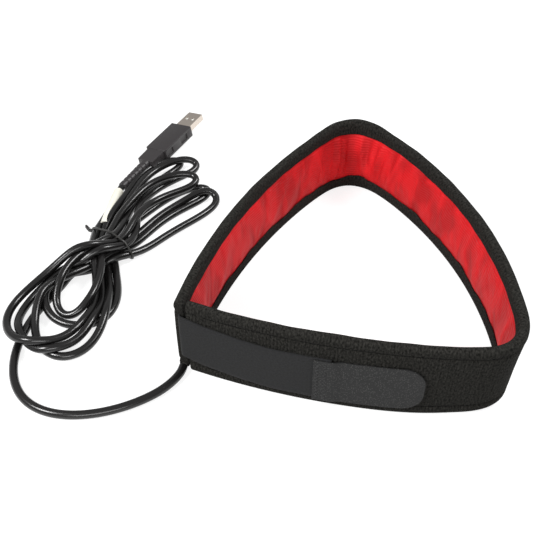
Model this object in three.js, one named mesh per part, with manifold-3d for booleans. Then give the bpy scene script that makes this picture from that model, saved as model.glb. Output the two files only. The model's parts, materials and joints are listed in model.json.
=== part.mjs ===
// A telescope dew heater strip with its USB lead, standing in its loop as it is shown for sale.
// Millimetres, +Z up, X to the right along the front of the loop, Y away from the viewer.
import * as THREE from 'three';
import * as BufferGeometryUtils from 'three/addons/utils/BufferGeometryUtils.js';
import Module from 'manifold-3d';

const wasm = await Module();
wasm.setup();

// The loop seen from above: the middle line of the strip runs from the left corner to the apex,
// on to the right corner and back, and each side bows outwards
const leftCorner = new THREE.Vector2( - 86.34, - 66.89 );
const apexCorner = new THREE.Vector2( 16.86, 109.97 );
const rightCorner = new THREE.Vector2( 84.58, - 100.76 );
const leftSideBow = 15.4;
const rightSideBow = 25.3;
const frontBow = 9.3;
const apexReach = 27;
const rightCornerReach = 26;
const apexLean = { width: 20, amount: 3 };
const rightCornerLean = { width: 30, amount: 4, pastCorner: 8 };

// The strip
const stripWidth = 50;
const stripThickness = 5.6;
const edgeRadius = 1.3;
const shellWall = 1;
const topHem = 7.4;
const bottomHem = 8.6;
const endHem = 6;
const seamInset = 2;
const seamGrooveDepth = 0.45;
const seamGrooveWidth = 1.3;
const threadThickness = 0.35;
const threadWidth = 0.6;

// What the strip holds
const foamThickness = 1.4;
const foamInset = 2.5;
const tapeThickness = 0.4;
const tapeWidth = 26;
const wireThickness = 0.4;
const wireSpacing = 18;
const liningThickness = 0.4;
const liningTuck = 4;
const liningPillow = 1.5;
const liningEndInset = 3;
const liningEaseIn = 9;
const liningHeldShare = 0.02;
const heaterStart = 30;
const heaterEndInset = 16;
const crimpDiameter = 1.6;
const crimpLength = 6;
const leadDiameter = 1.3;
const anchorLength = 10;
const anchorHeight = 6.5;
const anchorNeckDiameter = 3;

// The closing strap and the hook tab on its end
const strapWidth = 30;
const strapThickness = 1.2;
const strapLength = 81;
const strapStart = 27.6;
const strapDrop = 6.4;
const strapDropLength = 62;
const strapRoot = 10;
const strapTurn = 1.5;
const tabOverlap = 8.5;
const tabLength = 55.5;
const tabThickness = 1.2;
const tabEndRadius = 11;
const tabRamp = 6;
const zigzagCount = 9;
const zigzagWidth = 1.8;
const zigzagThread = 0.6;
const zigzagSpacing = 3.6;
const zigzagMargin = 2;

// The cable, from the strip to the plug
const cableDiameter = 4.8;
const cableExitHeight = 3.3;
const cableSides = 10;
const neckSides = 12;
const labelSteps = 4;
const cableStep = 11;
const labelStart = 4;
const labelLength = 36;
const labelDiameter = 6.4;
const hankHeight = 12.5;
const hankEdge = 2.5;
const tieWire = 1.3;
const tieWidth = 35;
const tieHeight = 12.2;
const tieCorner = 3;
const twistLength = 9;
const twistDiameter = 2.2;

// The plug
const plugPlace = new THREE.Vector3( - 104.7, 155.02, 8.2 );
const plugYaw = - 30;
const plugPitch = 4;
const plugRoll = - 8;
const shellWidth = 12;
const shellHeight = 4.5;
const shellLength = 18.75;
const shellSheet = 0.32;
const shellCorner = 0.5;
const windowWidth = 2.2;
const windowLength = 2.4;
const windowSpacing = 5;
const windowFromTip = 6.6;
const tongueThickness = 1.9;
const tongueSetback = 1;
const contactCount = 4;
const contactSpacing = 2.25;
const contactWidth = 1;
const contactThickness = 0.3;
const contactLength = 8.5;
const gripWidth = 17.4;
const gripHeight = 7.9;
const gripLength = 32.6;
const gripChamfer = 1.4;
const collarWidth = 14.4;
const collarHeight = 6.8;
const collarLength = 13;
const recessLength = 8;
const recessDepth = 0.9;
const recessHeight = 4.4;
const recessFromFront = [ 6, 24 ];
const reliefLength = 28;
const reliefStartDiameter = 7.4;
const reliefEndDiameter = 5.8;
const reliefGrooves = 6;
const reliefGrooveDepth = 0.9;
const reliefGrooveWidth = 1.8;
const reliefGrooveFloor = 1.2;

// Clearances
const gap = 0.3;
const endClearance = 0.5;
const strapClearance = 0.4;

// How finely the bent pieces are divided
const cornerStep = 4;
const sideStep = 8;
const liningStep = 6.5;
const strapStep = 7.5;
const rampStep = 1.5;
const turnStep = 0.6;

const half = stripThickness / 2;

// Where two lines meet: from point p along d, and from point q along e
function meeting( p, d, q, e ) {

	const across = d.x * e.y - d.y * e.x;
	const along = ( ( q.x - p.x ) * e.y - ( q.y - p.y ) * e.x ) / across;
	return p.clone().addScaledVector( d, along );

}

// A side from p to q that bows out to its left
function bowedSide( p, q, bow ) {

	const chord = q.clone().sub( p );
	const left = new THREE.Vector2( - chord.y, chord.x ).normalize();
	const control = p.clone().lerp( q, 0.5 ).addScaledVector( left, 2 * bow );
	return new THREE.QuadraticBezierCurve( p, control, q );

}

// The part of a quadratic curve between two of its parameters
function trimmed( curve, from, to ) {

	const control = new THREE.Vector2()
		.addScaledVector( curve.v0, ( 1 - from ) * ( 1 - to ) )
		.addScaledVector( curve.v1, from * ( 1 - to ) + to * ( 1 - from ) )
		.addScaledVector( curve.v2, from * to );
	return new THREE.QuadraticBezierCurve( curve.getPoint( from ), control, curve.getPoint( to ) );

}

// A rounded corner between the end of one curve and the start of the next
function cornerBetween( before, after ) {

	const start = before.getPoint( 1 );
	const end = after.getPoint( 0 );
	const control = meeting( start, before.getTangent( 1 ), end, after.getTangent( 0 ) );
	return new THREE.QuadraticBezierCurve( start, control, end );

}

// A stretch of a spine, moved out from it by a distance
class OffsetCurve extends THREE.Curve {

	constructor( spine, from, to, out ) {

		super();
		this.spine = spine;
		this.from = from;
		this.to = to;
		this.out = out;

	}

	getPoint( t, target = new THREE.Vector2() ) {

		const { point, outward } = this.spine.at( THREE.MathUtils.lerp( this.from, this.to, t ) );
		return target.copy( point ).addScaledVector( outward, this.out );

	}

}

// A plan line that pieces are bent along, with the places where they are divided
class Spine {

	constructor( pieces ) {

		this.path = new THREE.CurvePath();
		this.marks = [ 0 ];
		for ( const { curve, step } of pieces ) {

			this.path.add( curve );
			const start = this.marks.at( - 1 );
			const length = curve.getLength();
			const count = Math.max( 1, Math.ceil( length / step ) );
			for ( let i = 1; i <= count; i ++ ) this.marks.push( start + length * i / count );

		}

		this.length = this.marks.at( - 1 );
		this.leans = [];

	}

	// How far a height on the strip leans in, at a distance along it
	leanAt( distance, height ) {

		const atFoot = this.leans.reduce( ( sum, { at, width, amount } ) =>
			sum + amount * Math.exp( - ( ( ( distance - at ) / width ) ** 2 ) ), 0 );
		return atFoot * ( 1 - height / stripWidth );

	}

	at( distance ) {

		const u = THREE.MathUtils.clamp( distance / this.length, 0, 1 );
		const point = this.path.getPointAt( u );
		const along = this.path.getTangentAt( u );
		return { point, along, outward: new THREE.Vector2( - along.y, along.x ) };

	}

	// The division marks between two distances, both ends included
	stations( from, to ) {

		const nearest = 0.2;
		const inner = this.marks.filter( mark => mark > from + nearest && mark < to - nearest );
		return [ from, ...inner, to ];

	}

}

function evenStations( from, to, step ) {

	const count = Math.ceil( ( to - from ) / step );
	return Array.from( { length: count + 1 }, ( _, i ) => THREE.MathUtils.lerp( from, to, i / count ) );

}

// The same division marks with more between them where they are far apart
function finer( stations, step ) {

	const result = [ stations[ 0 ] ];
	for ( let i = 1; i < stations.length; i ++ ) {

		result.push( ...evenStations( stations[ i - 1 ], stations[ i ], step ).slice( 1 ) );

	}

	return result;

}

// A section (x out from the spine, y up) drawn out over the stations and bent along the spine.
// shift( distance, x, y ) moves a point out and up before the bend.
function bent( section, spine, stations, shift = () => [ 0, 0 ] ) {

	const steps = stations.length - 1;
	const options = { depth: steps, steps, bevelEnabled: false, curveSegments: 3 };
	const geometry = new THREE.ExtrudeGeometry( section, options );
	const position = geometry.attributes.position;
	for ( let i = 0; i < position.count; i ++ ) {

		const distance = stations[ Math.round( position.getZ( i ) ) ];
		const [ out, up ] = shift( distance, position.getX( i ), position.getY( i ) );
		const { point, outward } = spine.at( distance );
		const x = position.getX( i ) + out - spine.leanAt( distance, position.getY( i ) );
		position.setXYZ( i, point.x + outward.x * x, point.y + outward.y * x, position.getY( i ) + up );

	}

	geometry.computeVertexNormals();
	return geometry;

}

function rectangle( x0, x1, y0, y1 ) {

	const corners = [ [ x0, y0 ], [ x1, y0 ], [ x1, y1 ], [ x0, y1 ] ];
	return new THREE.Shape( corners.map( p => new THREE.Vector2( ...p ) ) );

}

function roundedRectangle( x0, x1, y0, y1, radius ) {

	const shape = new THREE.Shape();
	shape.absarc( x1 - radius, y0 + radius, radius, - Math.PI / 2, 0 );
	shape.absarc( x1 - radius, y1 - radius, radius, 0, Math.PI / 2 );
	shape.absarc( x0 + radius, y1 - radius, radius, Math.PI / 2, Math.PI );
	shape.absarc( x0 + radius, y0 + radius, radius, Math.PI, Math.PI * 1.5 );
	return shape;

}

function chamferedRectangle( width, height, chamfer ) {

	const x = width / 2;
	const y = height / 2;
	const corners = [
		[ x - chamfer, - y ], [ x, chamfer - y ], [ x, y - chamfer ], [ x - chamfer, y ],
		[ chamfer - x, y ], [ - x, y - chamfer ], [ - x, chamfer - y ], [ chamfer - x, - y ],
	];
	return new THREE.Shape( corners.map( p => new THREE.Vector2( ...p ) ) );

}

function circle( radius, sides ) {

	const points = [];
	for ( let i = 0; i < sides; i ++ ) {

		const angle = 2 * Math.PI * i / sides;
		points.push( new THREE.Vector2( radius * Math.cos( angle ), radius * Math.sin( angle ) ) );

	}

	return new THREE.Shape( points );

}

function ring( outerRadius, innerRadius, sides ) {

	const shape = circle( outerRadius, sides );
	shape.holes.push( circle( innerRadius, sides ) );
	return shape;

}

function extrudedAlong( section, curve, steps ) {

	return new THREE.ExtrudeGeometry( section, { extrudePath: curve, steps } );

}

// A closed body from a geometry, to cut or join
function solid( geometry ) {

	const shared = geometry.clone();
	shared.deleteAttribute( 'normal' );
	shared.deleteAttribute( 'uv' );
	const merged = BufferGeometryUtils.mergeVertices( shared, 1e-4 );
	return new wasm.Manifold( new wasm.Mesh( {
		numProp: 3,
		vertProperties: merged.attributes.position.array,
		triVerts: Uint32Array.from( merged.index.array ),
	} ) );

}

function geometryOf( body ) {

	const mesh = body.getMesh();
	const geometry = new THREE.BufferGeometry();
	geometry.setAttribute( 'position', new THREE.BufferAttribute( mesh.vertProperties, 3 ) );
	geometry.setIndex( new THREE.BufferAttribute( mesh.triVerts, 1 ) );
	geometry.computeVertexNormals();
	return geometry;

}

const strip = new THREE.Group();
const cord = new THREE.Group();

function add( group, name, geometry, look ) {

	const mesh = new THREE.Mesh( geometry, new THREE.MeshStandardMaterial( look ) );
	mesh.name = name;
	group.add( mesh );
	return mesh;

}

const loopPile = { color: 0x1f1f1d, roughness: 0.97, metalness: 0 };
const redNylon = { color: 0xc9292e, roughness: 0.55, metalness: 0 };
const foam = { color: 0x8c8c88, roughness: 0.95, metalness: 0 };
const carrierTape = { color: 0xcaa25a, roughness: 0.5, metalness: 0 };
const heatingAlloy = { color: 0x9a9690, roughness: 0.35, metalness: 1 };
const tinnedBrass = { color: 0xc7c2b4, roughness: 0.3, metalness: 1 };
const redInsulation = { color: 0xb3141a, roughness: 0.4, metalness: 0 };
const blackInsulation = { color: 0x151515, roughness: 0.4, metalness: 0 };
const glue = { color: 0x4a4743, roughness: 0.5, metalness: 0 };
const webbing = { color: 0x37373a, roughness: 0.8, metalness: 0 };
const hookTape = { color: 0x414141, roughness: 0.9, metalness: 0 };
const blackThread = { color: 0x18181a, roughness: 0.8, metalness: 0 };
const cableJacket = { color: 0x242426, roughness: 0.3, metalness: 0 };
const paperLabel = { color: 0xe4e2d6, roughness: 0.6, metalness: 0 };
const plugRubber = { color: 0x353336, roughness: 0.5, metalness: 0 };
const nickelPlate = { color: 0xcfc6bb, roughness: 0.25, metalness: 1 };
const insulator = { color: 0xe8e8e4, roughness: 0.5, metalness: 0 };
const goldPlate = { color: 0xd9a441, roughness: 0.25, metalness: 1 };

// The strip's middle line
const leftWhole = bowedSide( leftCorner, apexCorner, leftSideBow );
const rightWhole = bowedSide( apexCorner, rightCorner, rightSideBow );
const frontWhole = bowedSide( rightCorner, leftCorner, frontBow );
const shareOf = ( reach, curve ) => reach / curve.v0.distanceTo( curve.v2 );
const leftSide = trimmed( leftWhole, 0, 1 - shareOf( apexReach, leftWhole ) );
const rightSide = trimmed(
	rightWhole, shareOf( apexReach, rightWhole ), 1 - shareOf( rightCornerReach, rightWhole )
);
const frontSide = trimmed( frontWhole, shareOf( rightCornerReach, frontWhole ), 1 );

// At the left corner one end of the strip reaches out to the front's outer face,
// and the other end stops short of the first one's inner face
const legDirection = leftSide.getTangent( 0 );
const frontDirection = frontSide.getTangent( 1 );
const cornerCosine = - legDirection.dot( frontDirection );
const cornerSine = Math.sqrt( 1 - cornerCosine ** 2 );
const startOverhang = half * ( 1 - Math.abs( cornerCosine ) ) / cornerSine;
const endSetback = half * ( 1 + Math.abs( cornerCosine ) ) / cornerSine + endClearance;
const startPoint = leftCorner.clone().addScaledVector( legDirection, - startOverhang );

const loop = new Spine( [
	{ curve: new THREE.LineCurve( startPoint, leftCorner ), step: cornerStep },
	{ curve: leftSide, step: sideStep },
	{ curve: cornerBetween( leftSide, rightSide ), step: cornerStep },
	{ curve: rightSide, step: sideStep },
	{ curve: cornerBetween( rightSide, frontSide ), step: cornerStep },
	{ curve: frontSide, step: sideStep },
] );
const stripEnd = loop.length - endSetback;
const apexCurve = cornerBetween( leftSide, rightSide );
const apexDistance = startOverhang + leftSide.getLength() + apexCurve.getLength() / 2;
const rightCornerCurve = cornerBetween( rightSide, frontSide );
const rightCornerDistance = loop.length - frontSide.getLength() - rightCornerCurve.getLength() / 2;
loop.leans.push(
	{ ...apexLean, at: apexDistance },
	{ ...rightCornerLean, at: rightCornerDistance + rightCornerLean.pastCorner }
);

// Layers from the outside in, as distances out from the middle line
const shellInside = half - shellWall;
const foamOutside = shellInside - gap;
const foamInside = foamOutside - foamThickness;
const tapeOutside = foamInside - gap;
const tapeInside = tapeOutside - tapeThickness;
const wireOutside = tapeInside - gap;
const wireInside = wireOutside - wireThickness;
const liningEdgeInside = - shellInside + gap;
const liningMiddleInside = wireInside - gap - liningThickness;
const hemTopEdge = stripWidth - topHem;
const topSeamHeight = hemTopEdge + seamInset;
const bottomSeamHeight = bottomHem - seamInset;
const middleHeight = stripWidth / 2;

// The strap's line: along the front's outer face, round the left corner, and into the first end
const strapOut = half + strapClearance + strapThickness / 2;
const cornerOut = leftCorner.clone().addScaledVector( loop.at( loop.length ).outward, strapOut );
const strapBend = meeting( leftCorner, legDirection, cornerOut, frontDirection );
const bendPastCorner = strapBend.clone().sub( cornerOut ).dot( frontDirection );
const frontEndsAt = loop.length + bendPastCorner - strapTurn;
const strapTip = loop.length - strapLength;
const strapFront = new OffsetCurve( loop, strapTip, frontEndsAt, strapOut );
const strapInto = strapBend.clone().addScaledVector( legDirection, strapTurn );
const strapRootEnd = startPoint.clone().addScaledVector( legDirection, strapRoot );
const strapLine = new Spine( [
	{ curve: strapFront, step: strapStep },
	{ curve: new THREE.QuadraticBezierCurve( strapFront.getPoint( 1 ), strapBend, strapInto ), step: turnStep },
	{ curve: new THREE.LineCurve( strapInto, strapRootEnd ), step: sideStep },
] );
const cornerOnStrap = strapFront.getLength() + strapTurn;

// The strap sinks along the front, quickly at first
function strapHeightAt( fromCorner ) {

	const left = 1 - THREE.MathUtils.clamp( fromCorner / strapDropLength, 0, 1 );
	return strapStart - strapDrop * ( 1 - left ** 2 );

}

function outerShell() {

	const whole = loop.stations( 0, stripEnd );
	const profile = new THREE.Shape();
	const corners = [ [ half, 0 ], [ half, stripWidth ], [ - half, stripWidth ], [ - half, 0 ] ];
	const grooves = [ bottomSeamHeight, topSeamHeight ];
	const arcAt = ( [ x, y ], turn ) => profile.absarc(
		x - Math.sign( x ) * edgeRadius, y === 0 ? edgeRadius : y - edgeRadius,
		edgeRadius, turn * Math.PI / 2, ( turn + 1 ) * Math.PI / 2
	);
	arcAt( corners[ 0 ], - 1 );
	for ( const height of grooves ) {

		profile.lineTo( half, height - seamGrooveWidth / 2 );
		profile.lineTo( half - seamGrooveDepth, height - threadWidth / 2 );
		profile.lineTo( half - seamGrooveDepth, height + threadWidth / 2 );
		profile.lineTo( half, height + seamGrooveWidth / 2 );

	}

	arcAt( corners[ 1 ], 0 );
	arcAt( corners[ 2 ], 1 );
	arcAt( corners[ 3 ], 2 );
	const cavity = rectangle( - shellInside, shellInside, shellWall, stripWidth - shellWall );
	const opening = rectangle( - half - 1, gap - shellInside, bottomHem, hemTopEdge );
	const strapSlot = rectangle(
		- strapThickness / 2 - gap, strapThickness / 2 + gap,
		strapStart - strapWidth / 2 - gap, strapStart + strapWidth / 2 + gap
	);
	const neckHole = circle( anchorNeckDiameter / 2 + gap, neckSides );
	const past = [ - 1, shellWall + 1 ];
	return solid( bent( profile, loop, whole ) )
		.subtract( solid( bent( cavity, loop, loop.stations( shellWall, stripEnd - shellWall ) ) ) )
		.subtract( solid( bent( opening, loop, loop.stations( endHem, stripEnd - endHem ) ) ) )
		.subtract( solid( straightInto( strapSlot, ...past ) ) )
		.subtract( solid( straightInto( neckHole, ...past, cableExitHeight ) ) );

}

// A section drawn out straight into the first end of the strip, from one depth to another
function straightInto( section, from, to, height = 0 ) {

	const geometry = new THREE.ExtrudeGeometry( section, { depth: to - from, bevelEnabled: false } );
	geometry.translate( 0, height, from );
	const { point, along, outward } = loop.at( 0 );
	geometry.applyMatrix4( new THREE.Matrix4().makeBasis(
		new THREE.Vector3( outward.x, outward.y, 0 ),
		new THREE.Vector3( 0, 0, 1 ),
		new THREE.Vector3( along.x, along.y, 0 )
	).setPosition( point.x, point.y, 0 ) );
	return geometry;

}

// Folds of the lining: how far along the loop from the apex, how wide, how deep, and their lean
const liningFolds = [
	{ at: - 148, width: 9, depth: 0.7, lean: 0.5 },
	{ at: - 96, width: 8, depth: 0.9, lean: - 0.6 },
	{ at: - 62, width: 10, depth: 0.8, lean: 0.5 },
	{ at: - 34, width: 6, depth: 1.2, lean: - 0.3 },
	{ at: - 16, width: 4, depth: 2.0, lean: 0.1 },
	{ at: 9, width: 4.5, depth: 1.9, lean: - 0.15 },
	{ at: 22, width: 4.5, depth: 1.7, lean: 0.2 },
	{ at: 36, width: 5, depth: 1.5, lean: 0.35 },
	{ at: 62, width: 8, depth: 1.2, lean: 0.5 },
	{ at: 92, width: 9, depth: 1.2, lean: 0.6 },
	{ at: 122, width: 9, depth: 1.1, lean: 0.6 },
	{ at: 150, width: 8, depth: 1, lean: 0.5 },
];

// The lining is held flat under the hems and swells between them
function lining() {

	const low = bottomHem - liningTuck;
	const high = hemTopEdge + liningTuck;
	const freeLow = bottomHem + gap;
	const freeHigh = hemTopEdge - gap;
	const free = [ 0, 0.1, 0.3, 0.5, 0.7, 0.9, 1 ].map( u => THREE.MathUtils.lerp( freeLow, freeHigh, u ) );
	const heights = [ low, ...free, high ];
	const inner = heights.map( y => new THREE.Vector2( liningEdgeInside, y ) );
	const outer = heights.map( y => new THREE.Vector2( liningEdgeInside + liningThickness, y ) ).reverse();
	const ease = THREE.MathUtils.smoothstep;
	const swell = ( distance, _, y ) => {

		const u = THREE.MathUtils.clamp( ( y - freeLow ) / ( freeHigh - freeLow ), 0, 1 );
		const across = Math.sqrt( Math.max( 0, Math.sin( Math.PI * u ) ) );
		const fromEnd = Math.min( distance, stripEnd - distance ) - endHem - gap;
		let folds = 0;
		for ( const { at, width, depth, lean } of liningFolds ) {

			const away = ( distance - apexDistance - at - lean * ( y - middleHeight ) ) / width;
			folds += depth * Math.exp( - away * away );

		}

		const held = u < liningHeldShare || u > 1 - liningHeldShare;
		const overWires = held ? 0 : liningEdgeInside - liningMiddleInside;
		const pillow = Math.max( overWires, liningPillow * across );
		return [ - ease( fromEnd, 0, liningEaseIn ) * ( pillow + folds * across ), 0 ];

	};

	const stations = finer( loop.stations( liningEndInset, stripEnd - liningEndInset ), liningStep );
	return bent( new THREE.Shape( [ ...outer, ...inner ] ), loop, stations, swell );

}

function layer( inside, outside, low, high, from, to ) {

	return bent( rectangle( inside, outside, low, high ), loop, loop.stations( from, to ) );

}

// The heating wire runs out along the tape and back
function heaterWire() {

	const start = heaterStart;
	const end = stripEnd - heaterEndInset - wireThickness;
	const low = middleHeight - wireSpacing / 2;
	const high = middleHeight + wireSpacing / 2;
	const halfWire = wireThickness / 2;
	const run = height => layer( wireInside, wireOutside, height - halfWire, height + halfWire, start, end );
	const back = layer( wireInside, wireOutside, low - halfWire, high + halfWire, end - wireThickness, end );
	return geometryOf( solid( run( low ) ).add( solid( run( high ) ) ).add( solid( back ) ) );

}

// A thin wire's line inside the strip, easing from one height to another
class LeadCurve extends THREE.Curve {

	constructor( fromHeight, toHeight, from, to, out ) {

		super();
		Object.assign( this, { fromHeight, toHeight, from, to, out } );

	}

	getPoint( t, target = new THREE.Vector3() ) {

		const { point, outward } = loop.at( THREE.MathUtils.lerp( this.from, this.to, t ) );
		const rise = THREE.MathUtils.smoothstep( t, 0, 1 );
		const height = THREE.MathUtils.lerp( this.fromHeight, this.toHeight, rise );
		return target.set( point.x + outward.x * this.out, point.y + outward.y * this.out, height );

	}

}

function heaterParts() {

	add( strip, 'foam_pad', layer( foamInside, foamOutside, foamInset, stripWidth - foamInset,
		heaterStart, stripEnd - shellWall - gap ), foam );
	add( strip, 'heater_tape', layer( tapeInside, tapeOutside, middleHeight - tapeWidth / 2,
		middleHeight + tapeWidth / 2, heaterStart, stripEnd - heaterEndInset ), carrierTape );
	add( strip, 'heater_wire', heaterWire(), heatingAlloy );

	const crimpEnd = heaterStart - gap;
	const crimpStart = crimpEnd - crimpLength;
	const crimpOut = ( shellInside + liningEdgeInside + liningThickness ) / 2;
	const anchorEnd = shellWall + gap + anchorLength;
	const leads = [
		{ side: 'lower', height: middleHeight - wireSpacing / 2, root: 0.35, look: redInsulation },
		{ side: 'upper', height: middleHeight + wireSpacing / 2, root: 0.8, look: blackInsulation },
	];
	for ( const { side, height, root, look } of leads ) {

		const line = new LeadCurve( height, height, crimpStart, crimpEnd, crimpOut );
		add( strip, `crimp_${ side }`, extrudedAlong( circle( crimpDiameter / 2, 8 ), line, 1 ), tinnedBrass );
		const rootHeight = shellWall + gap + anchorHeight * root;
		const lead = new LeadCurve( rootHeight, height, anchorEnd + gap, crimpStart - gap, crimpOut );
		add( strip, `lead_wire_${ side }`, extrudedAlong( circle( leadDiameter / 2, 8 ), lead, 8 ), look );

	}

	const anchorInside = liningEdgeInside + liningThickness + gap;
	const block = rectangle( anchorInside, foamOutside, shellWall + gap, shellWall + gap + anchorHeight );
	const neckSection = circle( anchorNeckDiameter / 2, neckSides );
	const neck = straightInto( neckSection, 0, shellWall + 2 * gap, cableExitHeight );
	const anchor = solid( straightInto( block, shellWall + gap, anchorEnd ) ).add( solid( neck ) );
	add( strip, 'cable_anchor', geometryOf( anchor ), glue );

}

function hemThread( height ) {

	const inside = half - seamGrooveDepth + gap;
	return layer( inside, inside + threadThickness, height - threadWidth / 2, height + threadWidth / 2,
		endHem, stripEnd - endHem );

}

function closingStrap() {

	const section = rectangle( - strapThickness / 2, strapThickness / 2, - strapWidth / 2, strapWidth / 2 );
	const sink = distance => [ 0, strapHeightAt( cornerOnStrap - distance ) ];
	return bent( section, strapLine, strapLine.stations( 0, strapLine.length ), sink );

}

const tabFrom = loop.length - strapLength + tabOverlap;
const tabTo = tabFrom - tabLength;
const tabHeight = strapHeightAt( strapLength );
const tabRest = half + strapClearance + tabThickness / 2;
const tabRaised = strapOut + strapThickness / 2 + gap + tabThickness / 2;
const tabRampFoot = strapTip - gap - tabRamp;

function tabOutAt( distance ) {

	const climb = THREE.MathUtils.smoothstep( distance, tabRampFoot, tabRampFoot + tabRamp );
	return THREE.MathUtils.lerp( tabRest, tabRaised, climb );

}

// A flat piece on the front of the strip: x runs along it, y up, and z out from its middle line
function onFront( geometry, distance ) {

	const { point, along, outward } = loop.at( distance );
	geometry.applyMatrix4( new THREE.Matrix4().makeBasis(
		new THREE.Vector3( - along.x, - along.y, 0 ),
		new THREE.Vector3( 0, 0, 1 ),
		new THREE.Vector3( outward.x, outward.y, 0 )
	).setPosition( point.x, point.y, 0 ) );
	return geometry;

}

// The hook tab lies on the strap's end and then on the strip, and its far end is rounded
function hookTab() {

	const low = tabHeight - strapWidth / 2;
	const high = tabHeight + strapWidth / 2;
	const section = rectangle( - tabThickness / 2, tabThickness / 2, low, high );
	const flat = evenStations( tabTo, tabRampFoot, strapStep );
	const stations = [ ...flat, ...evenStations( tabRampFoot, tabFrom, rampStep ).slice( 1 ) ];
	const tab = solid( bent( section, loop, stations, distance => [ tabOutAt( distance ), 0 ] ) );
	const outline = new THREE.Shape();
	outline.moveTo( - tabLength - stripThickness, low );
	outline.absarc( - tabEndRadius, low + tabEndRadius, tabEndRadius, - Math.PI / 2, 0 );
	outline.absarc( - tabEndRadius, high - tabEndRadius, tabEndRadius, 0, Math.PI / 2 );
	outline.lineTo( - tabLength - stripThickness, high );
	const reach = 2 * stripThickness;
	const options = { depth: 2 * reach, bevelEnabled: false, curveSegments: 6 };
	const cutter = new THREE.ExtrudeGeometry( outline, options );
	cutter.translate( 0, 0, - reach );
	return geometryOf( tab.intersect( solid( onFront( cutter, tabTo ) ) ) );

}

// A zigzag of thread that holds the tab to the strap
function zigzag( fromTabEdge ) {

	const low = tabHeight - strapWidth / 2 + zigzagMargin;
	const pitch = ( strapWidth - 2 * zigzagMargin ) / zigzagCount;
	const left = [];
	const right = [];
	for ( let i = 0; i <= zigzagCount; i ++ ) {

		const swing = ( i % 2 === 0 ? - 1 : 1 ) * zigzagWidth / 2;
		left.push( new THREE.Vector2( swing - zigzagThread / 2, low + i * pitch ) );
		right.push( new THREE.Vector2( swing + zigzagThread / 2, low + i * pitch ) );

	}

	const geometry = new THREE.ExtrudeGeometry( new THREE.Shape( [ ...right, ...left.reverse() ] ),
		{ depth: threadThickness, bevelEnabled: false } );
	geometry.translate( 0, 0, tabRaised + tabThickness / 2 + gap );
	return onFront( geometry, tabFrom - fromTabEdge );

}

// The cable's route. The lead leaves the strip and goes under the hank.
// The tail leaves the hank for the plug.
const leadRoute = [
	[ - 87.2, - 70.18, 3.1 ], [ - 88.2, - 73.88, 2.8 ], [ - 91.8, - 79.88, 2.5 ], [ - 99.3, - 87.68, 2.45 ],
	[ - 112.1, - 95.58, 2.45 ], [ - 126.4, - 100.78, 2.45 ], [ - 139.1, - 102.48, 2.45 ],
	[ - 149.5, - 102.18, 2.45 ],
	[ - 160.9, - 98.78, 2.45 ], [ - 168.9, - 93.18, 2.45 ], [ - 174.4, - 85.68, 2.45 ], [ - 178.4, - 74.88, 2.45 ],
	[ - 180.5, - 64.48, 2.45 ], [ - 180.6, - 54.98, 2.45 ],
];
const tailRoute = [
	[ - 147.6, 45.62, 3.3 ], [ - 147.1, 53.02, 3.3 ], [ - 146.2, 63.02, 3.3 ], [ - 144.9, 73.02, 3.3 ],
	[ - 143.5, 83.02, 3.3 ], [ - 141.9, 90.22, 3.1 ],
];
const hankOutline = [
	[ - 151, 41.02 ], [ - 160.5, 33.02 ], [ - 173.5, 20.02 ], [ - 187.5, 3.02 ], [ - 194.2, - 17.98 ], [ - 192.5, - 34.98 ],
	[ - 185.5, - 47.98 ], [ - 173, - 59.48 ], [ - 157, - 66.18 ], [ - 144, - 60.48 ], [ - 135.5, - 38.98 ],
	[ - 129, - 12.98 ], [ - 124, 13.02 ], [ - 115.5, 34.02 ], [ - 103.5, 46.02 ], [ - 86, 57.52 ], [ - 76, 71.02 ],
	[ - 80, 89.02 ], [ - 85.5, 106.02 ],
	[ - 95, 118.02 ], [ - 106.5, 118.52 ], [ - 118, 109.52 ], [ - 129, 100.52 ], [ - 137, 86.02 ], [ - 140.8, 65.02 ],
	[ - 142.6, 52.02 ], [ - 145, 44.02 ],
];
const tieCentre = new THREE.Vector3( - 137.6, 28.42, 0 );
const tieAngle = - 42;

function curveThrough( route ) {

	return new THREE.CatmullRomCurve3( route.map( p => new THREE.Vector3( ...p ) ), false, 'centripetal' );

}

function cableAlong( route ) {

	const curve = curveThrough( route );
	const steps = Math.ceil( curve.getLength() / cableStep );
	return extrudedAlong( circle( cableDiameter / 2, cableSides ), curve, steps );

}

// A wire hoop round the waist of the hank, standing across it
function hoop( width, height, wire, depth, lift ) {

	const x = width / 2;
	const shape = roundedRectangle( - x - wire, x + wire, lift - wire, lift + height + wire, tieCorner + wire );
	shape.holes.push( roundedRectangle( - x, x, lift, lift + height, tieCorner ) );
	const geometry = new THREE.ExtrudeGeometry( shape, { depth, bevelEnabled: false, curveSegments: 3 } );
	geometry.translate( 0, 0, - depth / 2 );
	geometry.rotateX( Math.PI / 2 );
	geometry.rotateZ( THREE.MathUtils.degToRad( tieAngle ) );
	geometry.translate( tieCentre.x, tieCentre.y, 0 );
	return geometry;

}

function hank() {

	const outline = new THREE.Shape();
	outline.moveTo( ...hankOutline[ 0 ] );
	outline.splineThru( [ ...hankOutline.slice( 1 ), hankOutline[ 0 ] ].map( p => new THREE.Vector2( ...p ) ) );
	const points = outline.getPoints( 1 ).slice( 0, - 1 );
	const body = new THREE.ExtrudeGeometry( new THREE.Shape( points ), {
		depth: hankHeight - 2 * hankEdge, bevelThickness: hankEdge, bevelSize: hankEdge,
		bevelOffset: - hankEdge, bevelSegments: 2,
	} );
	body.translate( 0, 0, hankEdge );
	const channelWidth = Math.max( tieWire, twistDiameter ) + 2 * gap;
	const channel = hoop( tieWidth - 2 * gap, tieHeight - 2 * gap, hankHeight, channelWidth, tieWire + gap );
	return geometryOf( solid( body ).subtract( solid( channel ) ) );

}

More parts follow.
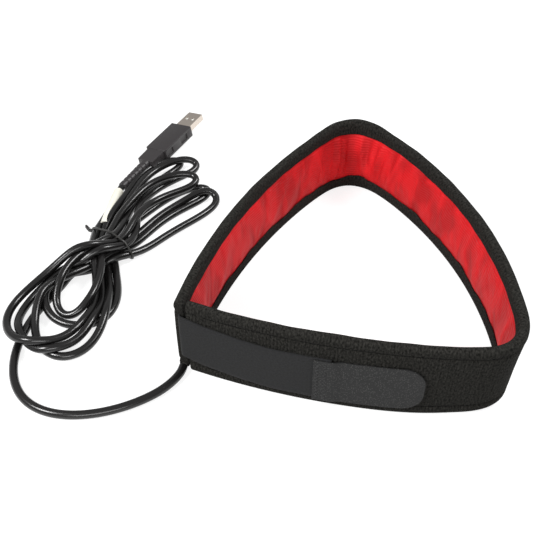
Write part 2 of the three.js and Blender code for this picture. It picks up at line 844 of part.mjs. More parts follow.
function twistTie() {

	const band = solid( hoop( tieWidth, tieHeight, tieWire, tieWire, tieWire ) );
	const twist = new THREE.CylinderGeometry( twistDiameter / 2, twistDiameter / 2, twistLength, 8 );
	twist.rotateZ( Math.PI / 2 );
	twist.translate( - ( tieWidth + twistLength ) / 2, 0, tieWire + twistDiameter / 2 + 1 );
	twist.rotateZ( THREE.MathUtils.degToRad( tieAngle ) );
	twist.translate( tieCentre.x, tieCentre.y, 0 );
	return geometryOf( band.add( solid( twist ) ) );

}

function cableParts() {

	add( cord, 'cable_lead', cableAlong( leadRoute ), cableJacket );
	add( cord, 'cable_hank', hank(), cableJacket );
	add( cord, 'cable_tail', cableAlong( tailRoute ), cableJacket );
	add( cord, 'twist_tie', twistTie(), blackInsulation );
	const tail = curveThrough( tailRoute );
	const length = tail.getLength();
	const labelMarks = evenStations( labelStart, labelStart + labelLength, labelLength / labelSteps );
	const labelLine = new THREE.CatmullRomCurve3( labelMarks.map( mark => tail.getPointAt( mark / length ) ) );
	const sleeve = ring( labelDiameter / 2, cableDiameter / 2 + gap, 12 );
	add( cord, 'cable_label', extrudedAlong( sleeve, labelLine, labelSteps ), paperLabel );

}

// A box section drawn out along the plug's own y, which points out of its mouth
function alongPlug( section, from, to ) {

	const options = { depth: to - from, bevelEnabled: false, curveSegments: 2 };
	const geometry = new THREE.ExtrudeGeometry( section, options );
	geometry.translate( 0, 0, - to );
	geometry.rotateX( Math.PI / 2 );
	return geometry;

}

function plugShell() {

	const x = shellWidth / 2;
	const z = shellHeight / 2;
	const outer = roundedRectangle( - x, x, - z, z, shellCorner );
	outer.holes.push( rectangle( shellSheet - x, x - shellSheet, shellSheet - z, z - shellSheet ) );
	let body = solid( alongPlug( outer, gap, shellLength ) );
	const mouth = shellLength - windowFromTip;
	for ( const side of [ - 1, 1 ] ) {

		const centre = side * windowSpacing / 2;
		const slot = new THREE.BoxGeometry( windowWidth, windowLength, shellHeight * 2 );
		slot.translate( centre, mouth - windowLength / 2, 0 );
		body = body.subtract( solid( slot ) );

	}

	return geometryOf( body );

}

function plugInside( group ) {

	const tongueWidth = shellWidth - 2 * ( shellSheet + gap );
	const tongueTop = shellHeight / 2 - shellSheet - gap;
	const tongue = rectangle( - tongueWidth / 2, tongueWidth / 2, tongueTop - tongueThickness, tongueTop );
	add( group, 'plug_tongue', alongPlug( tongue, gap, shellLength - tongueSetback ), insulator );
	const low = tongueTop - tongueThickness - gap - contactThickness;
	for ( let i = 0; i < contactCount; i ++ ) {

		const centre = ( i - ( contactCount - 1 ) / 2 ) * contactSpacing;
		const left = centre - contactWidth / 2;
		const blade = rectangle( left, left + contactWidth, low, low + contactThickness );
		const mouth = shellLength - tongueSetback - 1;
		add( group, `plug_contact_${ i + 1 }`, alongPlug( blade, mouth - contactLength, mouth ), goldPlate );

	}

}

// The moulded grip: a wide front, a narrower collar behind it, and a finger recess pair on each side
function plugGrip() {

	const front = alongPlug( chamferedRectangle( gripWidth, gripHeight, gripChamfer ), - gripLength, 0 );
	const collar = alongPlug( chamferedRectangle( collarWidth, collarHeight, gripChamfer ),
		- gripLength - collarLength, 1 - gripLength );
	let body = solid( front ).add( solid( collar ) );
	for ( const side of [ - 1, 1 ] ) {

		for ( const from of recessFromFront ) {

			const recess = new THREE.BoxGeometry( 2 * recessDepth, recessLength, recessHeight );
			recess.translate( side * gripWidth / 2, - from - recessLength / 2, 0 );
			body = body.subtract( solid( recess ) );

		}

	}

	return geometryOf( body );

}

// The strain relief tapers towards the cable, with open grooves that let it bend
function plugRelief() {

	const profile = [ new THREE.Vector2( 0, 0 ) ];
	const pitch = reliefLength / ( reliefGrooves + 1 );
	const radiusAt = y => THREE.MathUtils.lerp( reliefStartDiameter, reliefEndDiameter, y / reliefLength ) / 2;
	profile.push( new THREE.Vector2( radiusAt( 0 ), 0 ) );
	for ( let i = 1; i <= reliefGrooves; i ++ ) {

		const y = i * pitch;
		const floor = radiusAt( y ) - reliefGrooveDepth;
		profile.push(
			new THREE.Vector2( radiusAt( y ), y - reliefGrooveWidth / 2 ),
			new THREE.Vector2( floor, y - reliefGrooveFloor / 2 ),
			new THREE.Vector2( floor, y + reliefGrooveFloor / 2 ),
			new THREE.Vector2( radiusAt( y ), y + reliefGrooveWidth / 2 )
		);

	}

	profile.push( new THREE.Vector2( radiusAt( reliefLength ), reliefLength ) );
	profile.push( new THREE.Vector2( 0, reliefLength ) );
	const geometry = new THREE.LatheGeometry( profile, 10 );
	geometry.rotateX( Math.PI );
	geometry.translate( 0, - gripLength - collarLength - gap, 0 );
	return geometry;

}

function plugParts() {

	const plug = new THREE.Group();
	const turn = [ plugPitch, plugRoll, plugYaw ].map( THREE.MathUtils.degToRad );
	plug.rotation.set( ...turn, 'ZXY' );
	plug.position.copy( plugPlace );
	cord.add( plug );
	add( plug, 'plug_shell', plugShell(), nickelPlate );
	plugInside( plug );
	add( plug, 'plug_grip', plugGrip(), plugRubber );
	add( plug, 'plug_strain_relief', plugRelief(), plugRubber );

}

add( strip, 'outer_shell', geometryOf( outerShell() ), loopPile );
add( strip, 'red_lining', lining(), redNylon );
heaterParts();
add( strip, 'top_hem_thread', hemThread( topSeamHeight ), blackThread );
add( strip, 'bottom_hem_thread', hemThread( bottomSeamHeight ), blackThread );
add( strip, 'closing_strap', closingStrap(), webbing );
add( strip, 'hook_tab', hookTab(), hookTape );
add( strip, 'tab_stitching_outer', zigzag( zigzagWidth ), blackThread );
add( strip, 'tab_stitching_inner', zigzag( zigzagWidth + zigzagSpacing ), blackThread );
cableParts();
plugParts();

// The origin is under the middle of the strip, on the surface that it stands on
const heater = new THREE.Group();
heater.add( strip, cord );
const box = new THREE.Box3().setFromObject( strip );
const centre = box.getCenter( new THREE.Vector3() );
heater.position.set( - centre.x, - centre.y, - box.min.z );
heater.updateMatrixWorld( true );

export default heater;
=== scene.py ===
"""A telescope dew heater strip, closed in a loop by its strap, with its cable folded in a tied hank."""
import json
import math

import bpy
import bmesh
import numpy as np
from mathutils import Matrix, Vector

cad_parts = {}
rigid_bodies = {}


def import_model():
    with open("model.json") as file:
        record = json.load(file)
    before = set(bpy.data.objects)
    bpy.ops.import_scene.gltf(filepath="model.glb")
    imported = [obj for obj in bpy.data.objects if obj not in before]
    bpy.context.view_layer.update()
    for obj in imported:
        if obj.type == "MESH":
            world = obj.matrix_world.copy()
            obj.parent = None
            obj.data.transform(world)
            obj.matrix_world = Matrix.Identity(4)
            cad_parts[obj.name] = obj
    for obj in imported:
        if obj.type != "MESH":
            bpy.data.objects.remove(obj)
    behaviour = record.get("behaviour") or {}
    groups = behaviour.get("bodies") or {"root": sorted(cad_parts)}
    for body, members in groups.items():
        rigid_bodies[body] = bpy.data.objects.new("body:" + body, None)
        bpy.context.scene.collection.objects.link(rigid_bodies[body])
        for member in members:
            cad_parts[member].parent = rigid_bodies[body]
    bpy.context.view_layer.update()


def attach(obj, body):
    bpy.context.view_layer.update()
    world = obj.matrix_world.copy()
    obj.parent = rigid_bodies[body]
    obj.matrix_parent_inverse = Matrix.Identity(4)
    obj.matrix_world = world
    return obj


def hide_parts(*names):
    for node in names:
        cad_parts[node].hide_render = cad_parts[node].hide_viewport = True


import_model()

# The loop's middle line, seen from above
LEFT_CORNER = np.array([-0.08634, -0.06689])
APEX_CORNER = np.array([0.01686, 0.10997])
RIGHT_CORNER = np.array([0.08458, -0.10076])
LEFT_BOW, RIGHT_BOW, FRONT_BOW = 0.0154, 0.0253, 0.0093
APEX_REACH, RIGHT_CORNER_REACH = 0.027, 0.026
# Where the strip leans in at its foot: width and amount, and how far past the corner
APEX_LEAN = (0.020, 0.003, 0.0)
RIGHT_CORNER_LEAN = (0.030, 0.004, 0.008)

# The strip's section
STRIP_WIDTH = 0.050
HALF = 0.0028
TOP_HEM, BOTTOM_HEM = 0.0074, 0.0086
SEAM_INSET = 0.002
LINING_SHEET = 0.0003
END_GAP = 0.0005

# The strap and the hook tab on it
STRAP_WIDTH, STRAP_SHEET = 0.030, 0.0012
STRAP_LENGTH, STRAP_START = 0.081, 0.0276
STRAP_DROP, STRAP_DROP_LENGTH = 0.0064, 0.062
STRAP_ROOT, STRAP_TURN = 0.010, 0.0015
STRAP_CLEARANCE, GAP = 0.0004, 0.0003
TAB_OVERLAP, TAB_LENGTH, TAB_RAMP = 0.0085, 0.0555, 0.006
TAB_END_RADIUS = 0.011

# The cable
CABLE = 0.0048
LEAD_ROUTE = [
    (-0.0872, -0.07018, 0.0031), (-0.0882, -0.07388, 0.0028), (-0.0918, -0.07988, 0.0025),
    (-0.0993, -0.08768, 0.00245), (-0.1121, -0.09558, 0.00245), (-0.1264, -0.10078, 0.00245),
    (-0.1391, -0.10248, 0.00245), (-0.1495, -0.10218, 0.00245), (-0.1609, -0.09878, 0.00245),
    (-0.1689, -0.09318, 0.00245), (-0.1744, -0.08568, 0.00245), (-0.1784, -0.07488, 0.00245),
    (-0.1805, -0.06448, 0.00245), (-0.1806, -0.05498, 0.00245),
]
UNDER_HANK = [
    (-0.1780, -0.03898, 0.00245), (-0.1710, -0.01898, 0.00245), (-0.1600, 0.00102, 0.00245),
    (-0.1480, 0.01502, 0.0026),
]
TAIL_ROUTE = [
    (-0.1476, 0.04562, 0.0033), (-0.1471, 0.05302, 0.0033), (-0.1462, 0.06302, 0.0033),
    (-0.1449, 0.07302, 0.0033), (-0.1435, 0.08302, 0.0033), (-0.1419, 0.09022, 0.0031),
]
LABEL_START, LABEL_LENGTH, LABEL_DIAMETER = 0.004, 0.036, 0.0064
TIE_CENTRE = np.array([-0.1376, 0.02842])
TIE_ANGLE = math.radians(-42)
TIE_ACROSS = np.array([math.cos(TIE_ANGLE), math.sin(TIE_ANGLE)])
TIE_ONWARD = np.array([-TIE_ACROSS[1], TIE_ACROSS[0]])
TIE_WIRE = 0.0013
TIE_TWIST_LENGTH, TIE_TWIST_TURNS = 0.009, 2.5
TIE_TWIST_RADIUS, TIE_TWIST_CURL = TIE_WIRE * 0.52, 0.0015

# Each turn of the hank: its bend beyond the tie, where it comes back down through the tie, its bend before
# the tie, and where it goes up through the tie. A bend is its middle and its shoulder as heading and half
# width, its tip as heading and reach, its height and its tilt. A place in the tie is the distance across it
# and the height.
TURNS = [
    (((37.5, 0.008), (40, 0.0078), (40.5, 0.083), 0.005, 0.001), (0.0144, 0.0038),
     ((-106, 0.016), (-105.5, 0.020), (-107, 0.070), 0.0025, 0.0), (-0.0034, 0.0038)),
    (((55, 0.006), (49.5, 0.008), (47.5, 0.085), 0.006, 0.0015), (0.0086, 0.0038),
     ((-107, 0.018), (-103.5, 0.017), (-101, 0.095), 0.0028, 0.0), (-0.0092, 0.0038)),
    (((80, 0.0045), (69.5, 0.0085), (60.5, 0.102), 0.009, 0.002), (0.0109, 0.0084),
     ((-114, 0.0195), (-110.5, 0.019), (-107, 0.095), 0.005, 0.0), (-0.0148, 0.0038)),
    (((86, 0.004), (76, 0.0085), (68.5, 0.102), 0.006, 0.002), (-0.0005, 0.0084),
     ((-113, 0.009), (-109, 0.011), (-109, 0.066), 0.007, 0.0), (-0.0063, 0.0084)),
    (((73, 0.006), (61, 0.0085), (51.5, 0.083), 0.013, 0.002), (0.0052, 0.0084),
     ((-117, 0.019), (-116, 0.0205), (-113, 0.095), 0.0105, 0.0), (-0.0190, 0.0050)),
]
FIRST_PLACE = (0.0024, 0.0038)
BEND_MIDDLE, BEND_SHOULDER = 0.5, 0.85
CABLE_STEP = 0.0022
# How the cable settles: the points held at its ends, the rounds that smooth it and the rounds that lay it
# down, and how much of each move it makes in a round
FIXED_AT_START, FIXED_AT_END = 16, 6
SMOOTH_ROUNDS, SMOOTH_REACH = 60, 3
SMOOTH_FIRST, SMOOTH_LATER = 0.15, 0.1
SETTLE_ROUNDS, DROP_ROUNDS, DROP_PER_ROUND = 170, 0.9, 0.00003
PUSH_SIDEWAYS, CROSSING_LIFT = 0.75, 0.0003
EVEN_OUT, STRAIGHTEN = 0.2, 0.04
TIGHT_RADIUS, TIGHT_EASE = 0.010, 0.22
HOLD_TO_ROUTE, LINK_PULL = 0.035, 0.25

# The plug: where it lies and how it is turned
PLUG_PLACE = Vector((-0.1047, 0.15502, 0.0082))
PLUG_YAW, PLUG_PITCH, PLUG_ROLL = -30, 4, -8

# The camera
CAMERA_PLACE = (-0.0421, -0.35918, 0.341)
CAMERA_PITCH = 47.5
CAMERA_LENS = 54.9

# The light: name, place, target, size and power of each softbox, and how bright the surroundings are
SOFTBOXES = [
    ("softbox_left", (-0.75, -0.35, 0.85), (-0.03, 0, 0), (0.3, 0.3), 10.5),
    ("softbox_right", (0.70, 0.25, 0.95), (-0.03, 0, 0), (0.35, 0.35), 8.0),
    ("softbox_front", (-0.05, -0.95, 0.55), (0, -0.05, 0.02), (0.7, 0.3), 5.0),
]
AMBIENT = 0.42
FLOOR_GREY, FLOOR_GLOW = 0.35, 0.78


def linear(red, green, blue):
    """A colour in Blender's linear values from screen values of 0 to 255."""
    def one(value):
        value /= 255
        return value / 12.92 if value <= 0.04045 else ((value + 0.055) / 1.055) ** 2.4
    return (one(red), one(green), one(blue), 1.0)


def smoothstep(value):
    value = np.clip(value, 0.0, 1.0)
    return value * value * (3 - 2 * value)


def deselect():
    bpy.ops.object.select_all(action="DESELECT")


def finish_piece(piece, material):
    """Gives a piece its finish, and makes it ride on the part's one body."""
    piece.data.materials.clear()
    piece.data.materials.append(material)
    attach(piece, "root")


def select_only(piece):
    deselect()
    piece.select_set(True)
    bpy.context.view_layer.objects.active = piece


def apply_modifiers(piece):
    select_only(piece)
    for modifier in list(piece.modifiers):
        bpy.ops.object.modifier_apply(modifier=modifier.name)


def edit_mode(select=None):
    """Goes into edit mode on the active piece, with all of it selected if asked."""
    bpy.ops.object.mode_set(mode="EDIT")
    if select:
        bpy.ops.mesh.select_all(action=select)


def object_mode():
    bpy.ops.object.mode_set(mode="OBJECT")


def smooth_by_angle(degrees):
    bpy.ops.object.shade_smooth_by_angle(angle=math.radians(degrees))


def join_pieces(pieces):
    """Joins pieces in the first of them."""
    select_only(pieces[0])
    for piece in pieces:
        piece.select_set(True)
    bpy.ops.object.join()
    return pieces[0]


# Nodes

def set_or_link(tree, socket, value):
    """Gives a socket a plain value, or links another node's output to it."""
    if isinstance(value, bpy.types.NodeSocket):
        tree.links.new(value, socket)
    else:
        socket.default_value = value


def add_node(tree, kind, **values):
    """A node with its inputs and settings, with an underscore for each space in a name."""
    node = tree.nodes.new(kind)
    for name, value in values.items():
        socket = node.inputs.get(name.replace("_", " "))
        if socket is None:
            setattr(node, name, value)
        else:
            set_or_link(tree, socket, value)
    return node


def calculate(tree, operation, first, second):
    node = add_node(tree, "ShaderNodeMath", operation=operation)
    set_or_link(tree, node.inputs[0], first)
    set_or_link(tree, node.inputs[1], second)
    return node.outputs[0]


def remap(tree, value, low=0.0, high=1.0, to_low=0.0, to_high=1.0):
    return add_node(tree, "ShaderNodeMapRange", Value=value, From_Min=low, From_Max=high,
                    To_Min=to_low, To_Max=to_high).outputs["Result"]


def blend(tree, factor, first, second, blend_type="MIX"):
    """Two colours mixed by a factor."""
    node = add_node(tree, "ShaderNodeMix", data_type="RGBA", blend_type=blend_type)
    for index, value in ((0, factor), (6, first), (7, second)):
        set_or_link(tree, node.inputs[index], value)
    return node.outputs[2]


def noise(tree, place, **values):
    return add_node(tree, "ShaderNodeTexNoise", Vector=place, **values).outputs["Fac"]


def place_of(tree, source="Object", scale=(1, 1, 1)):
    """Coordinates of a piece, from its object or its own map, stretched by a scale."""
    coordinates = tree.nodes.new("ShaderNodeTexCoord").outputs[source]
    return add_node(tree, "ShaderNodeMapping", Vector=coordinates, Scale=scale).outputs["Vector"]


def new_material(name, color, roughness, **sockets):
    """A material with one shader, its plain values set on the shader itself."""
    material = bpy.data.materials.new(name)
    material.use_nodes = True
    tree = material.node_tree
    shader = tree.nodes["Principled BSDF"]
    for socket, value in {"Base Color": color, "Roughness": roughness, **sockets}.items():
        shader.inputs[socket.replace("_", " ")].default_value = value
    return material, tree, shader


# Camera, light and floor

def make_camera():
    bpy.ops.object.camera_add(location=CAMERA_PLACE, rotation=(math.radians(CAMERA_PITCH), 0, 0))
    camera = bpy.context.object
    camera.data.lens = CAMERA_LENS
    camera.data.sensor_width = 36
    camera.data.clip_start = 0.01
    bpy.context.scene.camera = camera


def make_lamp(name, place, target, size, power):
    bpy.ops.object.light_add(type="AREA", location=place)
    lamp = bpy.context.object
    lamp.name = name
    lamp.rotation_euler = (Vector(target) - Vector(place)).to_track_quat("-Z", "Y").to_euler()
    lamp.data.shape = "RECTANGLE"
    lamp.data.size, lamp.data.size_y = size
    lamp.data.energy = power


def make_world():
    """White where the camera sees it, and dimmer where it lights the part."""
    world = bpy.data.worlds.new("studio")
    bpy.context.scene.world = world
    world.use_nodes = True
    tree = world.node_tree
    background = tree.nodes["Background"]
    background.inputs["Color"].default_value = (1, 1, 1, 1)
    to_camera = tree.nodes.new("ShaderNodeLightPath").outputs["Is Camera Ray"]
    tree.links.new(remap(tree, to_camera, to_low=AMBIENT), background.inputs["Strength"])


def make_floor():
    """A pale floor that glows for the camera and in gloss and metal, and still takes the part's shadow."""
    bpy.ops.mesh.primitive_plane_add(size=6, location=(0, 0, 0))
    floor = bpy.context.object
    floor.name = "floor"
    material, tree, shader = new_material(
        "white_paper", (FLOOR_GREY, FLOOR_GREY, FLOOR_GREY, 1), 0.9, Specular_IOR_Level=0.1,
        Emission_Color=(1, 1, 1, 1))
    path = tree.nodes.new("ShaderNodeLightPath").outputs
    seen = calculate(tree, "MAXIMUM", path["Is Camera Ray"], path["Is Transmission Ray"])
    seen = calculate(tree, "MAXIMUM", seen, path["Is Glossy Ray"])
    tree.links.new(calculate(tree, "MULTIPLY", seen, FLOOR_GLOW), shader.inputs["Emission Strength"])
    floor.data.materials.append(material)


make_camera()
make_world()
for softbox in SOFTBOXES:
    make_lamp(*softbox)
make_floor()
scene = bpy.context.scene
scene.view_settings.view_transform = "Standard"


# Material parts

def make_group(name, inputs, outputs):
    """An empty node group with named sockets, and the sockets on its inside."""
    group = bpy.data.node_groups.new(name, "ShaderNodeTree")
    for label, kind, value in inputs:
        socket = group.interface.new_socket(label, in_out="INPUT", socket_type="NodeSocket" + kind)
        if value is not None:
            socket.default_value = value
    for label, kind in outputs:
        group.interface.new_socket(label, in_out="OUTPUT", socket_type="NodeSocket" + kind)
    return group, group.nodes.new("NodeGroupInput").outputs, group.nodes.new("NodeGroupOutput").inputs


def make_mottle_group():
    """Soft patches of two colours, with sharper edges for more contrast."""
    group, given, result = make_group(
        "mottle",
        [("Vector", "Vector", None), ("Scale", "Float", 100.0), ("Contrast", "Float", 0.5),
         ("Dark", "Color", (0, 0, 0, 1)), ("Light", "Color", (1, 1, 1, 1))],
        [("Color", "Color"), ("Mask", "Float")])
    cloud = noise(group, given["Vector"], Scale=given["Scale"], Detail=4.0, Roughness=0.6)
    half = calculate(group, "MULTIPLY", calculate(group, "SUBTRACT", 1.0, given["Contrast"]), 0.5)
    mask = remap(group, cloud, calculate(group, "SUBTRACT", 0.5, half), calculate(group, "ADD", 0.5, half))
    group.links.new(blend(group, mask, given["Dark"], given["Light"]), result["Color"])
    group.links.new(mask, result["Mask"])
    return group


def make_rib_group():
    """Rows of rounded ribs along one direction, with a slight unevenness."""
    group, given, result = make_group(
        "ribs", [("Vector", "Vector", None), ("Pitch", "Float", 0.001), ("Unevenness", "Float", 0.3)],
        [("Height", "Float")])
    wave = add_node(
        group, "ShaderNodeTexWave", wave_type="BANDS", bands_direction="X", wave_profile="SIN",
        Detail=1.0, Detail_Scale=3.0, Vector=given["Vector"], Distortion=given["Unevenness"],
        Scale=calculate(group, "DIVIDE", math.pi / 10, given["Pitch"]))
    group.links.new(wave.outputs["Fac"], result["Height"])
    return group


def put_group(tree, group, **values):
    node = tree.nodes.new("ShaderNodeGroup")
    node.node_tree = group
    for name, value in values.items():
        set_or_link(tree, node.inputs[name], value)
    return node.outputs


def add_mottle(tree, shader, place, scale, contrast, dark, light):
    """Patches of two colours, given in screen values, on a shader."""
    spots = put_group(tree, mottle, Vector=place, Scale=scale, Contrast=contrast,
                      Dark=linear(*dark), Light=linear(*light))
    tree.links.new(spots["Color"], shader.inputs["Base Color"])
    return spots


def rib_height(tree, place, pitch, unevenness):
    return put_group(tree, ribs, Vector=place, Pitch=pitch, Unevenness=unevenness)["Height"]


def add_bumps(tree, shader, *layers):
    """Bumps laid over each other, each given as height, distance and strength."""
    normal = None
    for height, distance, strength in layers:
        bump = add_node(tree, "ShaderNodeBump", Strength=strength, Distance=distance, Height=height)
        if normal is not None:
            tree.links.new(normal, bump.inputs["Normal"])
        normal = bump.outputs["Normal"]
    tree.links.new(normal, shader.inputs["Normal"])


mottle = make_mottle_group()
ribs = make_rib_group()


def pile_material():
    """Black brushed loop pile: deep, matt and uneven, with fine knitted ribs under the fuzz."""
    material, tree, shader = new_material(
        "loop_pile_black", linear(20, 20, 19), 1.0, Specular_IOR_Level=0.08, Sheen_Weight=0.05,
        Sheen_Roughness=0.6, Sheen_Tint=linear(110, 110, 106))
    fibres = place_of(tree, "UV", (1.6, 1.0, 1))
    add_mottle(tree, shader, fibres, 650.0, 0.65, (8, 8, 7), (51, 50, 47))
    fuzz = noise(tree, fibres, Scale=600.0, Detail=5.0, Roughness=0.75)
    knit = rib_height(tree, place_of(tree, "UV"), 0.0018, 0.8)
    add_bumps(tree, shader, (knit, 0.0004, 0.8), (fuzz, 0.0005, 0.9))
    return material


def nylon_material():
    """Red nylon with fine ribs along the strip, and soft creases whose valleys get painted shade: the colour
    is darkened along them.
    """
    material, tree, shader = new_material(
        "red_nylon", linear(196, 26, 31), 0.6, Specular_IOR_Level=0.2, Sheen_Weight=0.04,
        Sheen_Roughness=0.4, Sheen_Tint=linear(240, 120, 120))
    face = place_of(tree, "UV")
    color = add_mottle(tree, shader, face, 60.0, 0.5, (204, 23, 28), (220, 34, 40))["Color"]
    turned = add_node(tree, "ShaderNodeVectorRotate", rotation_type="Z_AXIS", Vector=face,
                      Angle=math.radians(90)).outputs["Vector"]
    rows = rib_height(tree, turned, 0.0018, 0.4)
    weave = noise(tree, face, Scale=2500.0, Detail=2.0)
    creases = noise(tree, place_of(tree, "UV", (1, 0.3, 1)), Scale=75.0, Detail=1.5, Distortion=0.4)
    # Painted shade: the crease noise darkens the colour in the creases' valleys, as well as bumping them.
    painted_crease_shade = remap(tree, creases, 0.40, 0.55, 0.74)
    tree.links.new(blend(tree, 1.0, color, painted_crease_shade, "MULTIPLY"), shader.inputs["Base Color"])
    add_bumps(tree, shader, (creases, 0.006, 0.9), (rows, 0.00025, 0.8), (weave, 0.00006, 0.6))
    return material


def webbing_material():
    """The strap's smooth dark grey face, close woven."""
    material, tree, shader = new_material(
        "strap_webbing", linear(42, 42, 43), 0.85, Specular_IOR_Level=0.2, Sheen_Weight=0.04,
        Sheen_Roughness=0.5)
    face = place_of(tree, "UV")
    add_mottle(tree, shader, face, 900.0, 0.6, (27, 27, 27), (39, 39, 40))
    grit = noise(tree, face, Scale=3000.0, Detail=3.0)
    add_bumps(tree, shader, (rib_height(tree, face, 0.0006, 0.3), 0.00005, 0.5), (grit, 0.00015, 0.7))
    return material


def hook_tape_material():
    """The tab's hook tape: close rows of bumped hook tips, with a painted highlight where they catch the
    light, as lighter dots in the colour.
    """
    material, tree, shader = new_material(
        "hook_tape", linear(58, 58, 58), 0.75, Specular_IOR_Level=0.35)
    cells = add_node(tree, "ShaderNodeTexVoronoi", Vector=place_of(tree, "UV"), Scale=1150.0,
                     Randomness=0.7, feature="F1")
    # Painted highlight: the hook tips are lighter in the colour where they would catch the light; the same
    # mask also bumps them.
    specks = remap(tree, cells.outputs["Distance"], 0.45, 0.15)
    color = blend(tree, specks, linear(28, 28, 28), linear(64, 64, 63))
    tree.links.new(color, shader.inputs["Base Color"])
    add_bumps(tree, shader, (specks, 0.0002, 0.8))
    return material


def thread_material(name, color):
    material, tree, shader = new_material(name, color, 0.95, Specular_IOR_Level=0.1)
    add_bumps(tree, shader, (rib_height(tree, place_of(tree), 0.0005, 0.5), 0.0001, 0.6))
    return material


def vary_roughness(tree, shader, by, low, high):
    """Lets the roughness vary around its plain value."""
    plain = shader.inputs["Roughness"].default_value
    tree.links.new(remap(tree, by, to_low=plain + low, to_high=plain + high), shader.inputs["Roughness"])


def pvc_material(name, color, roughness, grain):
    """Smooth moulded PVC with faint waves and grains."""
    material, tree, shader = new_material(name, color, roughness, Specular_IOR_Level=0.5)
    place = place_of(tree)
    waves = noise(tree, place, Scale=220.0, Detail=2.0)
    fine = noise(tree, place, Scale=2600.0, Detail=3.0)
    vary_roughness(tree, shader, fine, -0.06, 0.08)
    add_bumps(tree, shader, (waves, 0.00003, 0.35), (fine, grain, 0.5))
    return material


def paper_material():
    material, tree, shader = new_material("paper_label", linear(226, 224, 212), 0.45)
    add_mottle(tree, shader, place_of(tree), 120.0, 0.4, (216, 213, 199), (232, 230, 220))
    return material


def metal_material(name, color, roughness):
    """Plated sheet metal with faint rolling marks."""
    material, tree, shader = new_material(name, color, roughness, Metallic=1.0)
    marks = noise(tree, place_of(tree, "Object", (1, 0.12, 1)), Scale=1800.0, Detail=3.0)
    vary_roughness(tree, shader, marks, -0.05, 0.1)
    add_bumps(tree, shader, (marks, 0.00003, 0.4))
    return material


def plain_material(name, color, roughness, scale):
    """A simple finish with mottled colour, for the pieces inside."""
    material, tree, shader = new_material(name, color, roughness)
    dark = tuple(channel * 0.8 for channel in color[:3]) + (1.0,)
    spots = put_group(tree, mottle, Vector=place_of(tree), Scale=scale, Contrast=0.5, Dark=dark, Light=color)
    tree.links.new(spots["Color"], shader.inputs["Base Color"])
    add_bumps(tree, shader, (spots["Mask"], 0.0001, 0.4))
    return material


# The cable's route

def distances_along(points):
    return np.concatenate([[0], np.cumsum(np.linalg.norm(np.diff(points, axis=0), axis=1))])


def points_at(points, marks):
    """The points of a line at the given distances along it."""
    walked = distances_along(points)
    return np.stack([np.interp(marks, walked, points[:, k]) for k in range(points.shape[1])], axis=1)


def through(points, step):
    """Evenly spaced points on a smooth curve through the given ones."""
    points = np.array(points, float)
    ahead = np.vstack([2 * points[0] - points[1], points, 2 * points[-1] - points[-2]])
    fine = []
    for i in range(len(points) - 1):
        p0, p1, p2, p3 = ahead[i:i + 4]
        t0 = 0.0
        t1 = t0 + np.linalg.norm(p1 - p0) ** 0.5
        t2 = t1 + np.linalg.norm(p2 - p1) ** 0.5
        t3 = t2 + np.linalg.norm(p3 - p2) ** 0.5
        for t in np.linspace(t1, t2, 12, endpoint=False):
            a1 = (t1 - t) / (t1 - t0) * p0 + (t - t0) / (t1 - t0) * p1
            a2 = (t2 - t) / (t2 - t1) * p1 + (t - t1) / (t2 - t1) * p2
            a3 = (t3 - t) / (t3 - t2) * p2 + (t - t2) / (t3 - t2) * p3
            b1 = (t2 - t) / (t2 - t0) * a1 + (t - t0) / (t2 - t0) * a2
            b2 = (t3 - t) / (t3 - t1) * a2 + (t - t1) / (t3 - t1) * a3
            fine.append((t2 - t) / (t2 - t1) * b1 + (t - t1) / (t2 - t1) * b2)
    fine = np.array(fine + [points[-1]])
    length = distances_along(fine)[-1]
    return points_at(fine, np.linspace(0, length, int(round(length / step)) + 1))


def tie_place(across, height, onward=0.0):
    """A place in the tie, across it, above the floor and on along the hank."""
    x, y = TIE_CENTRE + across * TIE_ACROSS + onward * TIE_ONWARD
    return np.array([x, y, height])


def bend_points(start, end, bend):
    """The points of one bend of the hank, from one place in the tie round to another."""
    middle, shoulder, (tip_heading, reach), height, tilt = bend
    turn_side = 1 if tip_heading > 0 else -1

    def at(heading, share, aside, z):
        forward = np.array([math.cos(math.radians(heading)), math.sin(math.radians(heading))])
        left = np.array([-forward[1], forward[0]])
        xy = TIE_CENTRE + forward * reach * share + left * aside * turn_side
        return xy[0], xy[1], max(z, CABLE / 2 + 0.00005)

    def side_points(way, place_height):
        return [at(heading, share, way * width, place_height * (1 - share) + height * share + way * tilt)
                for share, (heading, width) in ((BEND_MIDDLE, middle), (BEND_SHOULDER, shoulder))]

    return side_points(1, start[1]) + [at(tip_heading, 1, 0, height)] + side_points(-1, end[1])[::-1]


def hank_route():
    """All the points that the cable passes, from the strip through the hank's turns to the plug."""
    route = LEAD_ROUTE + UNDER_HANK + [tie_place(*FIRST_PLACE)]
    place = FIRST_PLACE
    for upper, down, lower, up in TURNS:
        route += bend_points(place, down, upper) + [tie_place(*down)]
        route += bend_points(down, up, lower) + [tie_place(*up)]
        place = up
    return route + TAIL_ROUTE


def unbend(points, reach):
    """How far each point lies off its neighbours' middle, and the move that evens this out along the line."""
    bow = np.zeros_like(points)
    bow[reach:-reach] = (points[:-2 * reach] + points[2 * reach:]) / 2 - points[reach:-reach]
    ease = np.zeros_like(points)
    beside = (bow[reach:-3 * reach] + bow[3 * reach:-reach]) / 2
    ease[2 * reach:-2 * reach] = bow[2 * reach:-2 * reach] - beside
    return bow, ease


